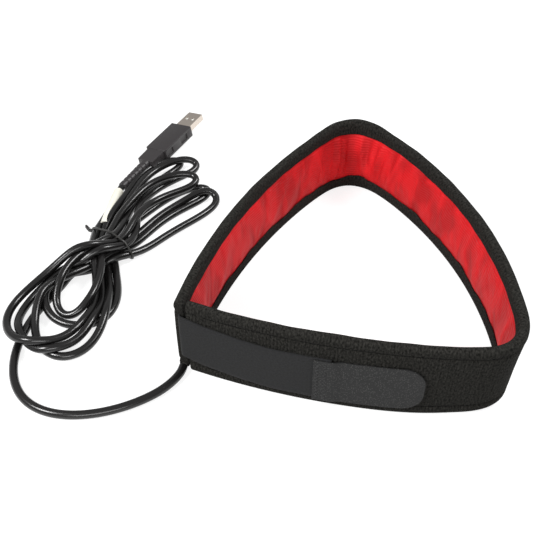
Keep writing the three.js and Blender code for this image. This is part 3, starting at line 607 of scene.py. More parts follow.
def settle(points, rounds):
    """Lets the cable's turns lie on each other and on the floor, a diameter apart, in smooth bends."""
    count = len(points)
    apart = int(math.ceil(2.2 * CABLE / CABLE_STEP))
    first, second = np.triu_indices(count, apart)
    free = np.ones((count, 1))
    free[:FIXED_AT_START] = 0
    free[-FIXED_AT_END:] = 0
    points = points.copy()
    for _ in range(SMOOTH_ROUNDS):
        points += SMOOTH_FIRST * unbend(points, SMOOTH_REACH)[1] * free
    home = points.copy()
    rest = np.linalg.norm(np.diff(points, axis=0), axis=1).mean()
    lowest = CABLE / 2 + 0.00003
    for step in range(rounds):
        between = points[first] - points[second]
        near = (between ** 2).sum(axis=1) < 1.02 * CABLE ** 2
        i, j, away = first[near], second[near], between[near]
        distance = np.linalg.norm(away, axis=1) + 1e-9
        level = np.abs(away[:, 2]) < 0.05 * distance
        above = home[i, 2] + home[i, 1] * 1e-3 >= home[j, 2] + home[j, 1] * 1e-3
        away[:, 2] += np.where(level, np.where(above, CROSSING_LIFT, -CROSSING_LIFT), 0)
        away /= np.linalg.norm(away, axis=1)[:, None] + 1e-9
        push = (1.005 * CABLE - distance)[:, None] * away * 0.5
        push[:, :2] *= PUSH_SIDEWAYS
        move = np.zeros_like(points)
        touches = np.zeros(count)
        np.add.at(move, i, push)
        np.add.at(move, j, -push)
        np.add.at(touches, i, 1)
        np.add.at(touches, j, 1)
        points += move / np.maximum(1, touches * 0.6)[:, None] * free
        points += SMOOTH_LATER * unbend(points, SMOOTH_REACH)[1] * free
        for _ in range(3):
            bow, ease = unbend(points, 1)
            points += EVEN_OUT * ease * free
            points += STRAIGHTEN * bow * free * np.array([0.2, 0.2, 1.0])
            curve = np.linalg.norm(bow, axis=1) * 2 / CABLE_STEP ** 2
            tight = np.clip(curve * TIGHT_RADIUS - 1, 0, 1)
            tight = np.maximum(tight, np.maximum(np.append(tight[1:], 0), np.append(0, tight[:-1])))
            points += TIGHT_EASE * bow * tight[:, None] * free
        points[:, :2] += HOLD_TO_ROUTE * (home[:, :2] - points[:, :2]) * free
        if step < DROP_ROUNDS * rounds:
            points[:, 2] -= DROP_PER_ROUND * free[:, 0]
        points[:, 2] = np.maximum(points[:, 2], lowest)
        for _ in range(2):
            links = np.diff(points, axis=0)
            length = np.linalg.norm(links, axis=1)
            pull = ((length - rest) / length * LINK_PULL)[:, None] * links
            points[:-1] += pull * free[:-1]
            points[1:] -= pull * free[1:]
    return points


def frames_along(points):
    """Tangent and two side directions at each point, without twist."""
    tangents = np.gradient(points, axis=0)
    tangents /= np.linalg.norm(tangents, axis=1)[:, None]
    side = np.cross(tangents[0], [0, 0, 1.0])
    side /= np.linalg.norm(side)
    sides = []
    for tangent in tangents:
        side = side - tangent * side.dot(tangent)
        side /= np.linalg.norm(side)
        sides.append(side)
    sides = np.array(sides)
    return tangents, sides, np.cross(tangents, sides)


def grid_piece(name, rows, closed_across, closed_ends=True):
    """A surface through rows of points, each row one section, with a map of metres along and across."""
    rows = np.array(rows)
    count, across = rows.shape[:2]
    columns = across + 1 if closed_across else across
    deselect()
    bpy.ops.mesh.primitive_grid_add(x_subdivisions=columns - 1, y_subdivisions=count - 1, size=1)
    piece = bpy.context.object
    piece.name = name
    piece.data.name = name
    full = np.concatenate([rows, rows[:, :1]], axis=1) if closed_across else rows
    piece.data.vertices.foreach_set("co", full.reshape(-1))
    along_lengths = np.linalg.norm(np.diff(full, axis=0), axis=2).mean(axis=1)
    across_lengths = np.linalg.norm(np.diff(full, axis=1), axis=2).mean(axis=0)
    u = np.concatenate([[0], np.cumsum(along_lengths)])
    v = np.concatenate([[0], np.cumsum(across_lengths)])
    uv = piece.data.uv_layers.active or piece.data.uv_layers.new(name="cloth")
    uv.name = "cloth"
    for loop in piece.data.loops:
        uv.data[loop.index].uv = (u[loop.vertex_index // columns], v[loop.vertex_index % columns])
    select_only(piece)
    edit_mode("SELECT")
    if closed_across:
        bpy.ops.mesh.remove_doubles(threshold=1e-7)
        if closed_ends:
            bpy.ops.mesh.select_all(action="DESELECT")
            bpy.ops.mesh.select_mode(type="EDGE")
            bpy.ops.mesh.select_non_manifold()
            bpy.ops.mesh.edge_face_add()
    bpy.ops.mesh.select_all(action="SELECT")
    bpy.ops.mesh.normals_make_consistent(inside=False)
    object_mode()
    smooth_by_angle(50)
    return piece


def tube_piece(name, points, radius, sides=14):
    """A round tube along points. radius is one number or one for each point."""
    radii = np.broadcast_to(radius, len(points))
    _, side, up = frames_along(points)
    angles = np.linspace(0, 2 * np.pi, sides, endpoint=False)
    rows = [point + r * (np.outer(np.cos(angles), a) + np.outer(np.sin(angles), b))
            for point, r, a, b in zip(points, radii, side, up)]
    return grid_piece(name, rows, closed_across=True)


pile = pile_material()
nylon = nylon_material()
webbing = webbing_material()
hooks = hook_tape_material()
thread = thread_material("black_thread", linear(11, 11, 11))
tab_thread = thread_material("grey_thread", linear(66, 66, 66))
tie_plastic = pvc_material("tie_plastic", linear(34, 33, 31), 0.35, 0.00002)
grip_rubber = pvc_material("moulded_rubber", linear(46, 43, 44), 0.42, 0.00006)
paper = paper_material()
nickel = metal_material("nickel_plate", linear(214, 203, 192), 0.3)

pvc = pvc_material("cable_pvc", linear(19, 18, 18), 0.23, 0.000004)
route = settle(through(hank_route(), CABLE_STEP), SETTLE_ROUNDS)
cable = tube_piece("usb_cable", route, CABLE / 2)
finish_piece(cable, pvc)
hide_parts("cable_lead", "cable_hank", "cable_tail")


# The strip's line

def meeting(p, d, q, e):
    """Where the line from p along d meets the line from q along e."""
    across = d[0] * e[1] - d[1] * e[0]
    along = ((q[0] - p[0]) * e[1] - (q[1] - p[1]) * e[0]) / across
    return p + d * along


def unit(vector):
    return vector / np.linalg.norm(vector)


def quadratic(points, t):
    p, c, q = points
    t = np.asarray(t)[:, None]
    return (1 - t) ** 2 * p + 2 * t * (1 - t) * c + t ** 2 * q


def bowed_side(p, q, bow, cut_start, cut_end):
    """The kept part of a side from p to q that bows out to its left, as a quadratic curve."""
    chord = q - p
    span = np.linalg.norm(chord)
    left = np.array([-chord[1], chord[0]]) / span
    control = (p + q) / 2 + left * 2 * bow
    start, end = cut_start / span, 1 - cut_end / span
    first, last = quadratic((p, control, q), [start, end])
    middle = (1 - start) * (1 - end) * p + (start * (1 - end) + end * (1 - start)) * control + start * end * q
    return first, middle, last


def corner_between(before, after):
    d, e = unit(before[2] - before[1]), unit(after[1] - after[0])
    return before[2], meeting(before[2], d, after[0], e), after[0]


class PlanLine:
    """A line on the floor plan that pieces are bent along, walked by distance."""

    def __init__(self, curves):
        parts = [quadratic(curve, np.linspace(0, 1, 161))[:-1] for curve in curves]
        points = np.vstack(parts + [curves[-1][2][None]])
        self.points = points
        self.walked = distances_along(points)
        self.length = self.walked[-1]
        ahead = np.diff(points, axis=0)
        ahead /= np.linalg.norm(ahead, axis=1)[:, None]
        self.middles = (self.walked[:-1] + self.walked[1:]) / 2
        self.ahead = ahead
        self.leans = []

    def lean_at(self, distance, height):
        """How far the line leans inward at a distance and height: most at the floor, none at the top."""
        lean = sum(amount * math.exp(-((distance - place) / width) ** 2)
                   for place, width, amount in self.leans)
        return lean * (1 - height / STRIP_WIDTH)

    def at(self, distance):
        point = np.array([np.interp(distance, self.walked, self.points[:, k]) for k in range(2)])
        along = unit(np.array([np.interp(distance, self.middles, self.ahead[:, k]) for k in range(2)]))
        return point, along, np.array([-along[1], along[0]])


def straight(p, q):
    return p, (p + q) / 2, q


left_side = bowed_side(LEFT_CORNER, APEX_CORNER, LEFT_BOW, 0, APEX_REACH)
right_side = bowed_side(APEX_CORNER, RIGHT_CORNER, RIGHT_BOW, APEX_REACH, RIGHT_CORNER_REACH)
front_side = bowed_side(RIGHT_CORNER, LEFT_CORNER, FRONT_BOW, RIGHT_CORNER_REACH, 0)
leg_direction = unit(left_side[1] - left_side[0])
front_direction = unit(front_side[2] - front_side[1])
corner_cosine = -leg_direction.dot(front_direction)
corner_sine = math.sqrt(1 - corner_cosine ** 2)
start_overhang = HALF * (1 - abs(corner_cosine)) / corner_sine
end_setback = HALF * (1 + abs(corner_cosine)) / corner_sine + END_GAP
start_point = LEFT_CORNER - leg_direction * start_overhang
apex_corner = corner_between(left_side, right_side)
right_corner = corner_between(right_side, front_side)
loop = PlanLine([
    straight(start_point, LEFT_CORNER), left_side, apex_corner, right_side, right_corner, front_side])
strip_end = loop.length - end_setback
apex_distance = start_overhang + PlanLine([left_side]).length + PlanLine([apex_corner]).length / 2
right_corner_distance = loop.length - PlanLine([front_side]).length - PlanLine([right_corner]).length / 2
loop.leans = [(place + past, width, amount) for place, (width, amount, past) in (
    (apex_distance, APEX_LEAN), (right_corner_distance, RIGHT_CORNER_LEAN))]


def bent_rows(line, stations, section_at):
    """Rows of points: the section (out, up) at each station, bent along the line."""
    rows = []
    for station in stations:
        point, _, outward = line.at(station)
        section = np.asarray(section_at(station))
        out = section[:, :1] - line.lean_at(station, section[:, 1:])
        rows.append(np.column_stack([point + out * outward, section[:, 1]]))
    return rows


def wobble(distance, waves):
    """A slow unevenness: the sum of waves given as height, wavelength and start."""
    return sum(height * np.sin(2 * np.pi * distance / length + start) for height, length, start in waves)


# The black outer fabric, with its padded hems, sewn grooves and the pocket that holds the lining

TOP_SEAM = STRIP_WIDTH - TOP_HEM + SEAM_INSET
BOTTOM_SEAM = BOTTOM_HEM - SEAM_INSET
END_HEM = 0.006
END_ROUNDING = 0.0016
POCKET, POCKET_BACK = 0.0032, -0.0009
# The hems' rounded edges: where the upper one starts and how high each rises; and the inner face's ends
ROLL_TOP, ROLL_RISE = 0.0474, 0.0026
INSIDE_TOP, INSIDE_FOOT = 0.0465, 0.0028
# A hem's lip on the inner face and its pocket for the lining, as points (out, into the hem)
HEM_LIP = [
    (-0.0026, 0.0001), (-0.0022, 0), (-0.0019, 0.0003), (-0.0018, 0.0008), (-0.0018, POCKET - 0.0004),
    (-0.0013, POCKET), (POCKET_BACK, POCKET - 0.0004), (POCKET_BACK, 0),
]
STITCH_PITCH, STITCH_LENGTH, STITCH_DEPTH = 0.0042, 0.0033, 0.0005
APEX_HEM_GROWTH, APEX_SPREAD = 0.0012, 0.022

TOP_EDGE_WAVES = [(0.00035, 0.083, 0.4), (0.00022, 0.037, 2.1), (0.00012, 0.017, 0.9)]
BOTTOM_LIP_WAVES = [(0.0007, 0.052, 1.1), (0.0005, 0.029, 0.2), (0.00025, 0.0135, 2.6)]
TOP_LIP_WAVES = [(0.00025, 0.061, 0.7), (0.00018, 0.019, 1.9)]
FACE_WAVES = [(0.00022, 0.071, 0.0), (0.00016, 0.031, 1.3)]


def seam_groove(height, seam, station):
    depth = 0.0008 + 0.00025 * math.sin(2 * np.pi * station / STITCH_PITCH)
    return depth * np.exp(-((height - seam) / 0.00085) ** 2)


def outer_heights():
    even = np.arange(0.0030, 0.0472, 0.0014)
    close = [seam + away for seam in (BOTTOM_SEAM, TOP_SEAM)
             for away in (-0.0011, -0.0006, 0.0, 0.0006, 0.0011)]
    return np.array(sorted([height for height in even
                            if min(abs(height - BOTTOM_SEAM), abs(height - TOP_SEAM)) > 0.0014] + close))


def apex_share(station):
    """One at the apex and near nothing a few centimetres from it."""
    return math.exp(-((station - apex_distance) / APEX_SPREAD) ** 2)


def fabric_section(station):
    """The fabric's section at a station: points (out, up), up its outer face and down its inner one."""
    face = wobble(station, FACE_WAVES)
    top_rise = wobble(station, TOP_EDGE_WAVES) + APEX_HEM_GROWTH * apex_share(station)
    heights = outer_heights()
    between = np.clip((heights - BOTTOM_SEAM) / (TOP_SEAM - BOTTOM_SEAM), 0, 1)
    out = HALF + 0.0001 + face * np.sin(np.pi * between)
    out = out + 0.0003 * np.exp(-((heights - 0.0475) / 0.0022) ** 2)
    out = out - seam_groove(heights, BOTTOM_SEAM, station) - seam_groove(heights, TOP_SEAM, station)
    section = list(zip(out, heights))
    thick = HALF + 0.0002
    for angle in np.linspace(8, 172, 11):
        turn = math.radians(angle)
        section.append((thick * math.cos(turn), ROLL_TOP + (ROLL_RISE + top_rise) * math.sin(turn)))
    closed = smoothstep(min(station, strip_end - station) / 0.0008 - END_HEM / 0.0008)
    top_lip = STRIP_WIDTH - TOP_HEM + wobble(station, TOP_LIP_WAVES) - APEX_HEM_GROWTH * apex_share(station)
    low_lip = BOTTOM_HEM + wobble(station, BOTTOM_LIP_WAVES)
    lip = [(-thick + 0.00005, 0.0006)] + HEM_LIP
    inner = [(-thick, INSIDE_TOP), (-thick - 0.0001, 0.0452), (-thick, 0.0440)]
    inner += [(x, top_lip + into) for x, into in lip]
    inner += [(POCKET_BACK, height) for height in (0.0340, 0.0255, 0.0170)]
    inner += [(x, low_lip - into) for x, into in reversed(lip)]
    inner += [(-thick, 0.0058), (-thick, 0.0040), (-thick, INSIDE_FOOT)]
    flat = np.linspace(INSIDE_TOP, INSIDE_FOOT, len(inner))
    section += [(-thick + closed * (x + thick), z0 + closed * (z - z0)) for (x, z), z0 in zip(inner, flat)]
    for angle in np.linspace(188, 352, 9):
        turn = math.radians(angle)
        section.append((thick * math.cos(turn), ROLL_RISE + ROLL_RISE * math.sin(turn)))
    section = np.array(section)
    section[:, 1] = np.maximum(section[:, 1], 0.00005)
    from_end = min(station, strip_end - station)
    drawn_in = END_ROUNDING * (1 - math.sqrt(max(0.0, 1 - (1 - min(from_end / END_ROUNDING, 1)) ** 2)))
    section[:, 0] *= 1 - drawn_in / HALF
    section[:, 1] = 0.025 + (section[:, 1] - 0.025) * (1 - drawn_in / 0.025)
    return section


def end_stations(start, end, step, close=(0, 0.0002, 0.0006, 0.0011, 0.0017)):
    """Even stations with closer ones near both ends."""
    inner = np.linspace(start + 0.0025, end - 0.0025, int((end - start - 0.005) / step) + 1)
    return np.concatenate([start + np.array(close), inner, end - np.array(close[::-1])])


fabric_stations = end_stations(0, strip_end, 0.00135)
lip_rows = [END_HEM + away for away in (-0.0001, 0.0002, 0.0005, 0.0009)]
fabric_stations = np.unique(np.round(np.concatenate(
    [fabric_stations, lip_rows, [strip_end - row for row in lip_rows]]), 6))
fabric_rows = bent_rows(loop, fabric_stations, fabric_section)
outer_fabric = grid_piece("outer_fabric", fabric_rows, closed_across=True)
finish_piece(outer_fabric, pile)
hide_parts("outer_shell")

# The red lining, which swells between the hems and gathers in folds where the strip turns

# Each fold: distance from the apex, width, depth, lean, and how much sharper its far side is
LINING_FOLDS = [
    (-0.215, 0.0108, 0.0008, 0.3, 1), (-0.182, 0.0081, 0.0009, 0.6, 1.2),
    (-0.148, 0.0081, 0.0012, 0.5, 1.3), (-0.118, 0.0063, 0.0009, -0.5, 1),
    (-0.096, 0.0072, 0.0015, -0.6, 1.5), (-0.078, 0.0045, 0.0008, 0.7, 1),
    (-0.062, 0.009, 0.0014, 0.5, 1.4), (-0.046, 0.0045, 0.0009, -0.4, 1.2),
    (-0.034, 0.0054, 0.0019, -0.3, 1.6), (-0.024, 0.0027, 0.0012, 0.1, 1.3),
    (-0.0155, 0.00324, 0.0032, 0.12, 2.2), (-0.0085, 0.00198, 0.0012, 0.05, 1.5),
    (0.009, 0.00405, 0.0025, -0.15, 1.8), (0.0155, 0.0018, 0.0010, 0.1, 1.4),
    (0.022, 0.00324, 0.0029, 0.2, 2), (0.029, 0.0027, 0.0015, 0.25, 1.5),
    (0.037, 0.00378, 0.0024, 0.35, 1.8), (0.049, 0.0045, 0.0012, 0.5, 1.4),
    (0.062, 0.0063, 0.0018, 0.5, 1.6), (0.077, 0.0045, 0.0010, 0.7, 1.3),
    (0.092, 0.0072, 0.0019, 0.6, 1.6), (0.108, 0.0045, 0.0010, 0.5, 1.3),
    (0.122, 0.0072, 0.0016, 0.6, 1.5), (0.137, 0.0054, 0.0009, 0.4, 1.2),
    (0.15, 0.0072, 0.0015, 0.5, 1.4), (0.17, 0.0063, 0.0009, 0.5, 1.2),
    (0.192, 0.009, 0.0012, 0.4, 1.3), (0.218, 0.0072, 0.0010, -0.4, 1.2),
]
LINING_SWELL, LINING_RIPPLE = 0.0016, 0.00012
LINING_IN_POCKET, LINING_CLEARANCE = -0.0013, 0.0002
LINING_LOW, LINING_HIGH = 0.0068, 0.0446
LINING_START = END_HEM + 0.0006


def lining_section(station):
    heights = np.linspace(LINING_LOW, LINING_HIGH, 31)
    low = BOTTOM_HEM + wobble(station, BOTTOM_LIP_WAVES) + LINING_CLEARANCE
    high = STRIP_WIDTH - TOP_HEM + wobble(station, TOP_LIP_WAVES) - LINING_CLEARANCE
    high -= APEX_HEM_GROWTH * apex_share(station)
    free = np.clip((heights - low) / (high - low), 0, 1)
    swell = np.sqrt(np.clip(np.sin(np.pi * free), 0, 1))
    folds = np.zeros_like(heights)
    for place, width, depth, lean, sharpness in LINING_FOLDS:
        away = (station - apex_distance - place - lean * (heights - STRIP_WIDTH / 2)) / width
        away = np.where(away > 0, away * sharpness, away)
        folds += depth * np.exp(-away ** 2)
    ease = smoothstep((min(station, strip_end - station) - LINING_START) / 0.009)
    fine = LINING_RIPPLE * np.sin(2 * np.pi * (station + 0.4 * heights) / 0.0065)
    fine *= np.sin(2 * np.pi * station / 0.041)
    out = LINING_IN_POCKET - ease * (LINING_SWELL * swell + (folds + fine) * swell)
    return np.column_stack([out, heights])


lining_stations = np.linspace(LINING_START, strip_end - LINING_START, 420)
lining_rows = bent_rows(loop, lining_stations, lining_section)
red_lining = grid_piece("red_nylon_lining", lining_rows, closed_across=False)
thicken = red_lining.modifiers.new("thickness", "SOLIDIFY")
thicken.thickness = LINING_SHEET
thicken.offset = 0
apply_modifiers(red_lining)
finish_piece(red_lining, nylon)
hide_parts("red_lining")

# The closing strap and the hook tab at its end

strap_out = HALF + STRAP_CLEARANCE + STRAP_SHEET / 2
corner_out = LEFT_CORNER + loop.at(loop.length)[2] * strap_out
strap_bend = meeting(LEFT_CORNER, leg_direction, corner_out, front_direction)
bend_past_corner = (strap_bend - corner_out).dot(front_direction)
front_ends_at = loop.length + bend_past_corner - STRAP_TURN
strap_tip = loop.length - STRAP_LENGTH


def offset_points(start, end, out, count):
    points = []
    for distance in np.linspace(start, end, count):
        point, _, outward = loop.at(distance)
        points.append(point + outward * out)
    return points


strap_front = offset_points(strap_tip, front_ends_at, strap_out, 60)
strap_into = strap_bend + leg_direction * STRAP_TURN
strap_root_end = start_point + leg_direction * STRAP_ROOT
strap_curves = [straight(p, q) for p, q in zip(strap_front, strap_front[1:])]
strap_line = PlanLine(strap_curves + [(strap_front[-1], strap_bend, strap_into),
                                      straight(strap_into, strap_root_end)])
corner_on_strap = PlanLine(strap_curves).length + STRAP_TURN


def strap_height(from_corner):
    left = 1 - min(max(from_corner / STRAP_DROP_LENGTH, 0), 1)
    return STRAP_START - STRAP_DROP * (1 - left ** 2)


def flat_section(half_width, thickness, edge=0.0004, count=22):
    """A flat band's section with softly rounded edges, as points (out, up) about its middle."""
    half_thick = thickness / 2
    ups = np.linspace(-half_width + edge, half_width - edge, count)
    outer = [(half_thick, up) for up in ups]
    turns = (0.6, 1.2, 1.94, 2.54)
    top = [(half_thick * math.cos(a), half_width - edge + edge * math.sin(a)) for a in turns]
    inner = [(-half_thick, up) for up in ups[::-1]]
    low = [(-half_thick * math.cos(a), -half_width + edge - edge * math.sin(a)) for a in turns]
    return np.array(outer + top + inner + low)


STRAP_WAVES = [(0.00012, 0.043, 0.3), (0.00008, 0.019, 1.2)]


def strap_section(station):
    section = flat_section(STRAP_WIDTH / 2, STRAP_SHEET)
    edge = np.clip((np.abs(section[:, 1]) - 0.0125) / 0.0025, 0, 1)
    section[:, 0] -= 0.00012 * edge
    section[:, 1] += strap_height(corner_on_strap - station) + wobble(station, STRAP_WAVES)
    return section


before_corner, past_corner = corner_on_strap - 0.003, corner_on_strap + 0.003
strap_stations = np.unique(np.concatenate([
    np.linspace(0, before_corner, 70), np.linspace(before_corner, past_corner, 24),
    np.linspace(past_corner, strap_line.length, 10)]))
strap = grid_piece("grey_strap", bent_rows(strap_line, strap_stations, strap_section), closed_across=True)
finish_piece(strap, webbing)
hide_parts("closing_strap")

TAB_SHEET = 0.0012
tab_from = loop.length - STRAP_LENGTH + TAB_OVERLAP
tab_to = tab_from - TAB_LENGTH
tab_height = strap_height(STRAP_LENGTH)
tab_rest = HALF + STRAP_CLEARANCE + TAB_SHEET / 2
tab_raised = strap_out + STRAP_SHEET / 2 + GAP + TAB_SHEET / 2
tab_ramp_foot = strap_tip - GAP - TAB_RAMP


def tab_out(distance):
    climb = float(smoothstep((distance - tab_ramp_foot) / TAB_RAMP))
    return tab_rest + (tab_raised - tab_rest) * climb


def tab_half_width(from_tip):
    """The tab narrows to a rounded end."""
    into = max(TAB_END_RADIUS - from_tip, 0)
    return STRAP_WIDTH / 2 - TAB_END_RADIUS + math.sqrt(max(TAB_END_RADIUS ** 2 - into ** 2, 0))


def tab_section(station):
    half_width = tab_half_width(station - tab_to)
    section = flat_section(half_width, TAB_SHEET)
    section[:, 0] += tab_out(station)
    section[:, 1] += tab_height + wobble(station, STRAP_WAVES)
    return section


tip_angles = np.linspace(0, np.pi / 2, 18)
tab_stations = np.unique(np.round(np.concatenate([
    tab_to + TAB_END_RADIUS * (1 - np.cos(tip_angles)),
    np.linspace(tab_to + TAB_END_RADIUS, tab_from, 44)]), 6))
tab = grid_piece("hook_tape_tab", bent_rows(loop, tab_stations, tab_section), closed_across=True)
finish_piece(tab, hooks)
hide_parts("hook_tab")


# Stitches: one is modelled, and each place gets a copy with its own mesh

ZIGZAG_MARGIN, ZIGZAG_WIDTH, ZIGZAG_STITCHES = 0.002, 0.0018, 20


def model_stitch():
    """A short thread end to end, sunk at both ends."""
    deselect()
    bpy.ops.mesh.primitive_cylinder_add(vertices=6, radius=0.00025, depth=1, location=(0, 0, 0))
    stitch = bpy.context.object
    edit_mode("SELECT")
    bpy.ops.mesh.subdivide(number_cuts=1)
    object_mode()
    for vertex in stitch.data.vertices:
        toward_end = abs(vertex.co.z) * 2
        vertex.co.x *= 1 - 0.55 * toward_end ** 4
        vertex.co.y *= 1 - 0.55 * toward_end ** 4
    return stitch


def sew(name, pairs, material, thickness=1.0):
    """Stitches from one point to another, joined in one piece."""
    pattern = model_stitch()
    copies = []
    for start, end in pairs:
        start, end = Vector(start), Vector(end)
        copy = bpy.data.objects.new(name, pattern.data.copy())
        scene.collection.objects.link(copy)
        turn = (end - start).to_track_quat("Z", "Y").to_matrix().to_4x4()
        size = Matrix.Diagonal((thickness, thickness, (end - start).length, 1))
        copy.data.transform(Matrix.Translation((start + end) / 2) @ turn @ size)
        copies.append(copy)
    bpy.data.objects.remove(pattern)
    piece = join_pieces(copies)
    piece.name = name
    smooth_by_angle(60)
    finish_piece(piece, material)
    return piece


def beside_strip(distance, out, height):
    """A place at a distance out from the strip's line, following its lean."""
    point, _, outward = loop.at(distance)
    return (*(point + outward * (out - loop.lean_at(distance, height))), height)


def seam_pairs(height):
    starts = np.arange(END_HEM, strip_end - END_HEM - STITCH_PITCH, STITCH_PITCH)
    return [[beside_strip(distance, HALF - STITCH_DEPTH, height)
             for distance in (start, start + STITCH_LENGTH)] for start in starts]


def zigzag_pairs(from_tab_edge):
    low = tab_height - STRAP_WIDTH / 2 + ZIGZAG_MARGIN
    pitch = (STRAP_WIDTH - 2 * ZIGZAG_MARGIN) / ZIGZAG_STITCHES
    points = []
    for i in range(ZIGZAG_STITCHES + 1):
        distance = tab_from - from_tab_edge - (ZIGZAG_WIDTH if i % 2 else 0)
        points.append(beside_strip(distance, tab_out(distance) + TAB_SHEET / 2 + 0.0001, low + i * pitch))
    return list(zip(points, points[1:]))


top_stitches = sew("top_hem_stitches", seam_pairs(TOP_SEAM), thread, 0.9)
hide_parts("top_hem_thread")
bottom_stitches = sew("bottom_hem_stitches", seam_pairs(BOTTOM_SEAM), thread, 0.9)
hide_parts("bottom_hem_thread")
outer_zigzag = sew("tab_zigzag_outer", zigzag_pairs(0.0010), tab_thread)
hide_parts("tab_stitching_outer")
inner_zigzag = sew("tab_zigzag_inner", zigzag_pairs(0.0048), tab_thread)
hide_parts("tab_stitching_inner")


# The wire tie round the hank

def smooth_closed(points, step):
    """Even points on a closed line through the given ones."""
    points = np.vstack([points, points[:1]])
    length = distances_along(points)[-1]
    even = points_at(points, np.linspace(0, length, int(length / step), endpoint=False))
    for _ in range(3):
        even = (np.roll(even, 1, axis=0) + 2 * even + np.roll(even, -1, axis=0)) / 4
    return even


def strands_at_tie():
    """Where the cable's strands pass the tie, as (across, height)."""
    away = (route[:, :2] - TIE_CENTRE) @ TIE_ONWARD
    places = []
    for i in np.nonzero(away[:-1] * away[1:] < 0)[0]:
        share = away[i] / (away[i] - away[i + 1])
        point = route[i] + share * (route[i + 1] - route[i])
        places.append(((point[:2] - TIE_CENTRE) @ TIE_ACROSS, point[2]))
    return np.array([place for place in places if abs(place[0]) < 0.025])


def tie_points():
    strands = strands_at_tie()
    reach = CABLE / 2 + TIE_WIRE / 2 + 0.0001
    around = []
    for turn in np.linspace(0, 2 * np.pi, 72, endpoint=False):
        toward = np.array([math.cos(turn), math.sin(turn)])
        around.append(strands[np.argmax(strands @ toward)] + reach * toward)
    around = smooth_closed(np.array(around), 0.0008)
    around[:, 1] = np.maximum(around[:, 1], TIE_WIRE / 2 + 0.00005)
    return around


def twist_points(root, start):
    """One of the tie's two wires where they twist round each other, out from the band and down."""
    points = []
    for t in np.linspace(0, 1, 60):
        turn = start + t * TIE_TWIST_TURNS * 2 * np.pi
        out = t * TIE_TWIST_LENGTH
        height = max(root[1] - 0.0012 - 0.5 * out, 0.0016)
        points.append(tie_place(root[0] - 0.0002 - out, height + TIE_TWIST_RADIUS * math.cos(turn),
                                TIE_TWIST_RADIUS * math.sin(turn) + TIE_TWIST_CURL * t * t))
    return np.array(points)


def make_tie():
    around = tie_points()
    leftmost = int(np.argmin(around[:, 0] - 0.3 * around[:, 1]))
    around = np.roll(around, -leftmost, axis=0)
    path = [tie_place(across, height, 0.0004 * math.sin(2 * np.pi * i / len(around)))
            for i, (across, height) in enumerate(around)]
    pieces = [tube_piece("tie_band", np.array(path), TIE_WIRE / 2, 10)]
    pieces += [tube_piece("tie_twist", twist_points(around[0], start), TIE_WIRE / 2 * 0.92, 8)
               for start in (0, math.pi)]
    tie = join_pieces(pieces)
    tie.name = "hank_tie"
    finish_piece(tie, tie_plastic)
    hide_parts("twist_tie")


make_tie()


# The paper label round the cable near the plug

def part_of_route(points, start, length, step=0.001):
    """The stretch of a line between two distances from its end."""
    return points_at(points[::-1], np.linspace(start, start + length, int(length / step) + 1))


def make_label():
    tail = through(TAIL_ROUTE, CABLE_STEP)
    whole = np.linalg.norm(np.diff(tail, axis=0), axis=1).sum()
    line = part_of_route(tail, whole - LABEL_START - LABEL_LENGTH, LABEL_LENGTH)
    _, side, up = frames_along(line)
    angles = np.linspace(0, 2 * np.pi, 24, endpoint=False)
    outer, inner = LABEL_DIAMETER / 2, CABLE / 2 + 0.0001

    def ring(i, radius):
        return [line[i] + radius * (math.cos(a) * side[i] + math.sin(a) * up[i]) for a in angles]

    order = range(len(line))
    rows = [ring(0, inner)] + [ring(i, outer) for i in order] + [ring(-1, inner)]
    rows += [ring(i, inner) for i in reversed(order)]
    label = grid_piece("paper_sleeve", rows, closed_across=True, closed_ends=False)
    select_only(label)
    edit_mode("SELECT")
    bpy.ops.mesh.remove_doubles(threshold=1e-6)
    bpy.ops.mesh.normals_make_consistent(inside=False)
    object_mode()
    finish_piece(label, paper)
    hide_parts("cable_label")


make_label()

# The plug: each part is modelled lying along y with its mouth towards +y, and then laid in place

PLUG_TURN = (Matrix.Rotation(math.radians(PLUG_YAW), 4, "Z")
             @ Matrix.Rotation(math.radians(PLUG_PITCH), 4, "X")
             @ Matrix.Rotation(math.radians(PLUG_ROLL), 4, "Y"))
SHELL_WIDTH, SHELL_HEIGHT, SHELL_LENGTH, SHELL_SHEET = 0.012, 0.0045, 0.01875, 0.00032
WINDOW_WIDTH, WINDOW_LENGTH, WINDOW_SPACING, WINDOW_FROM_TIP = 0.0022, 0.0024, 0.005, 0.0066
GRIP_WIDTH, GRIP_HEIGHT, GRIP_LENGTH, GRIP_CHAMFER = 0.0174, 0.0079, 0.0326, 0.0014
COLLAR_WIDTH, COLLAR_HEIGHT, COLLAR_LENGTH = 0.0144, 0.0068, 0.013
RECESS_LENGTH, RECESS_DEPTH, RECESS_HEIGHT = 0.008, 0.0009, 0.0044
RECESS_FROM_FRONT = (0.006, 0.024)
RELIEF_LENGTH, RELIEF_START, RELIEF_END, RELIEF_GROOVES = 0.028, 0.0074, 0.0058, 6


def lay_in_place(piece):
    piece.data.transform(Matrix.Translation(PLUG_PLACE) @ PLUG_TURN)
    piece.data.update()


def select_faces(piece, test):
    """Selects only the faces whose centre and normal pass a test, in edit mode."""
    mesh = bmesh.from_edit_mesh(piece.data)
    bpy.ops.mesh.select_mode(type="FACE")
    bpy.ops.mesh.select_all(action="DESELECT")
    for face in mesh.faces:
        face.select_set(bool(test(face.calc_center_median(), face.normal)))
    bmesh.update_edit_mesh(piece.data)


def box(name, size, centre):
    """A box at its size and place, in edit mode for shaping."""
    deselect()
    bpy.ops.mesh.primitive_cube_add(size=1, location=(0, 0, 0))
    piece = bpy.context.object
    piece.name = name
    piece.data.transform(Matrix.Translation(centre) @ Matrix.Diagonal((*size, 1)))
    select_only(piece)
    edit_mode()
    return piece


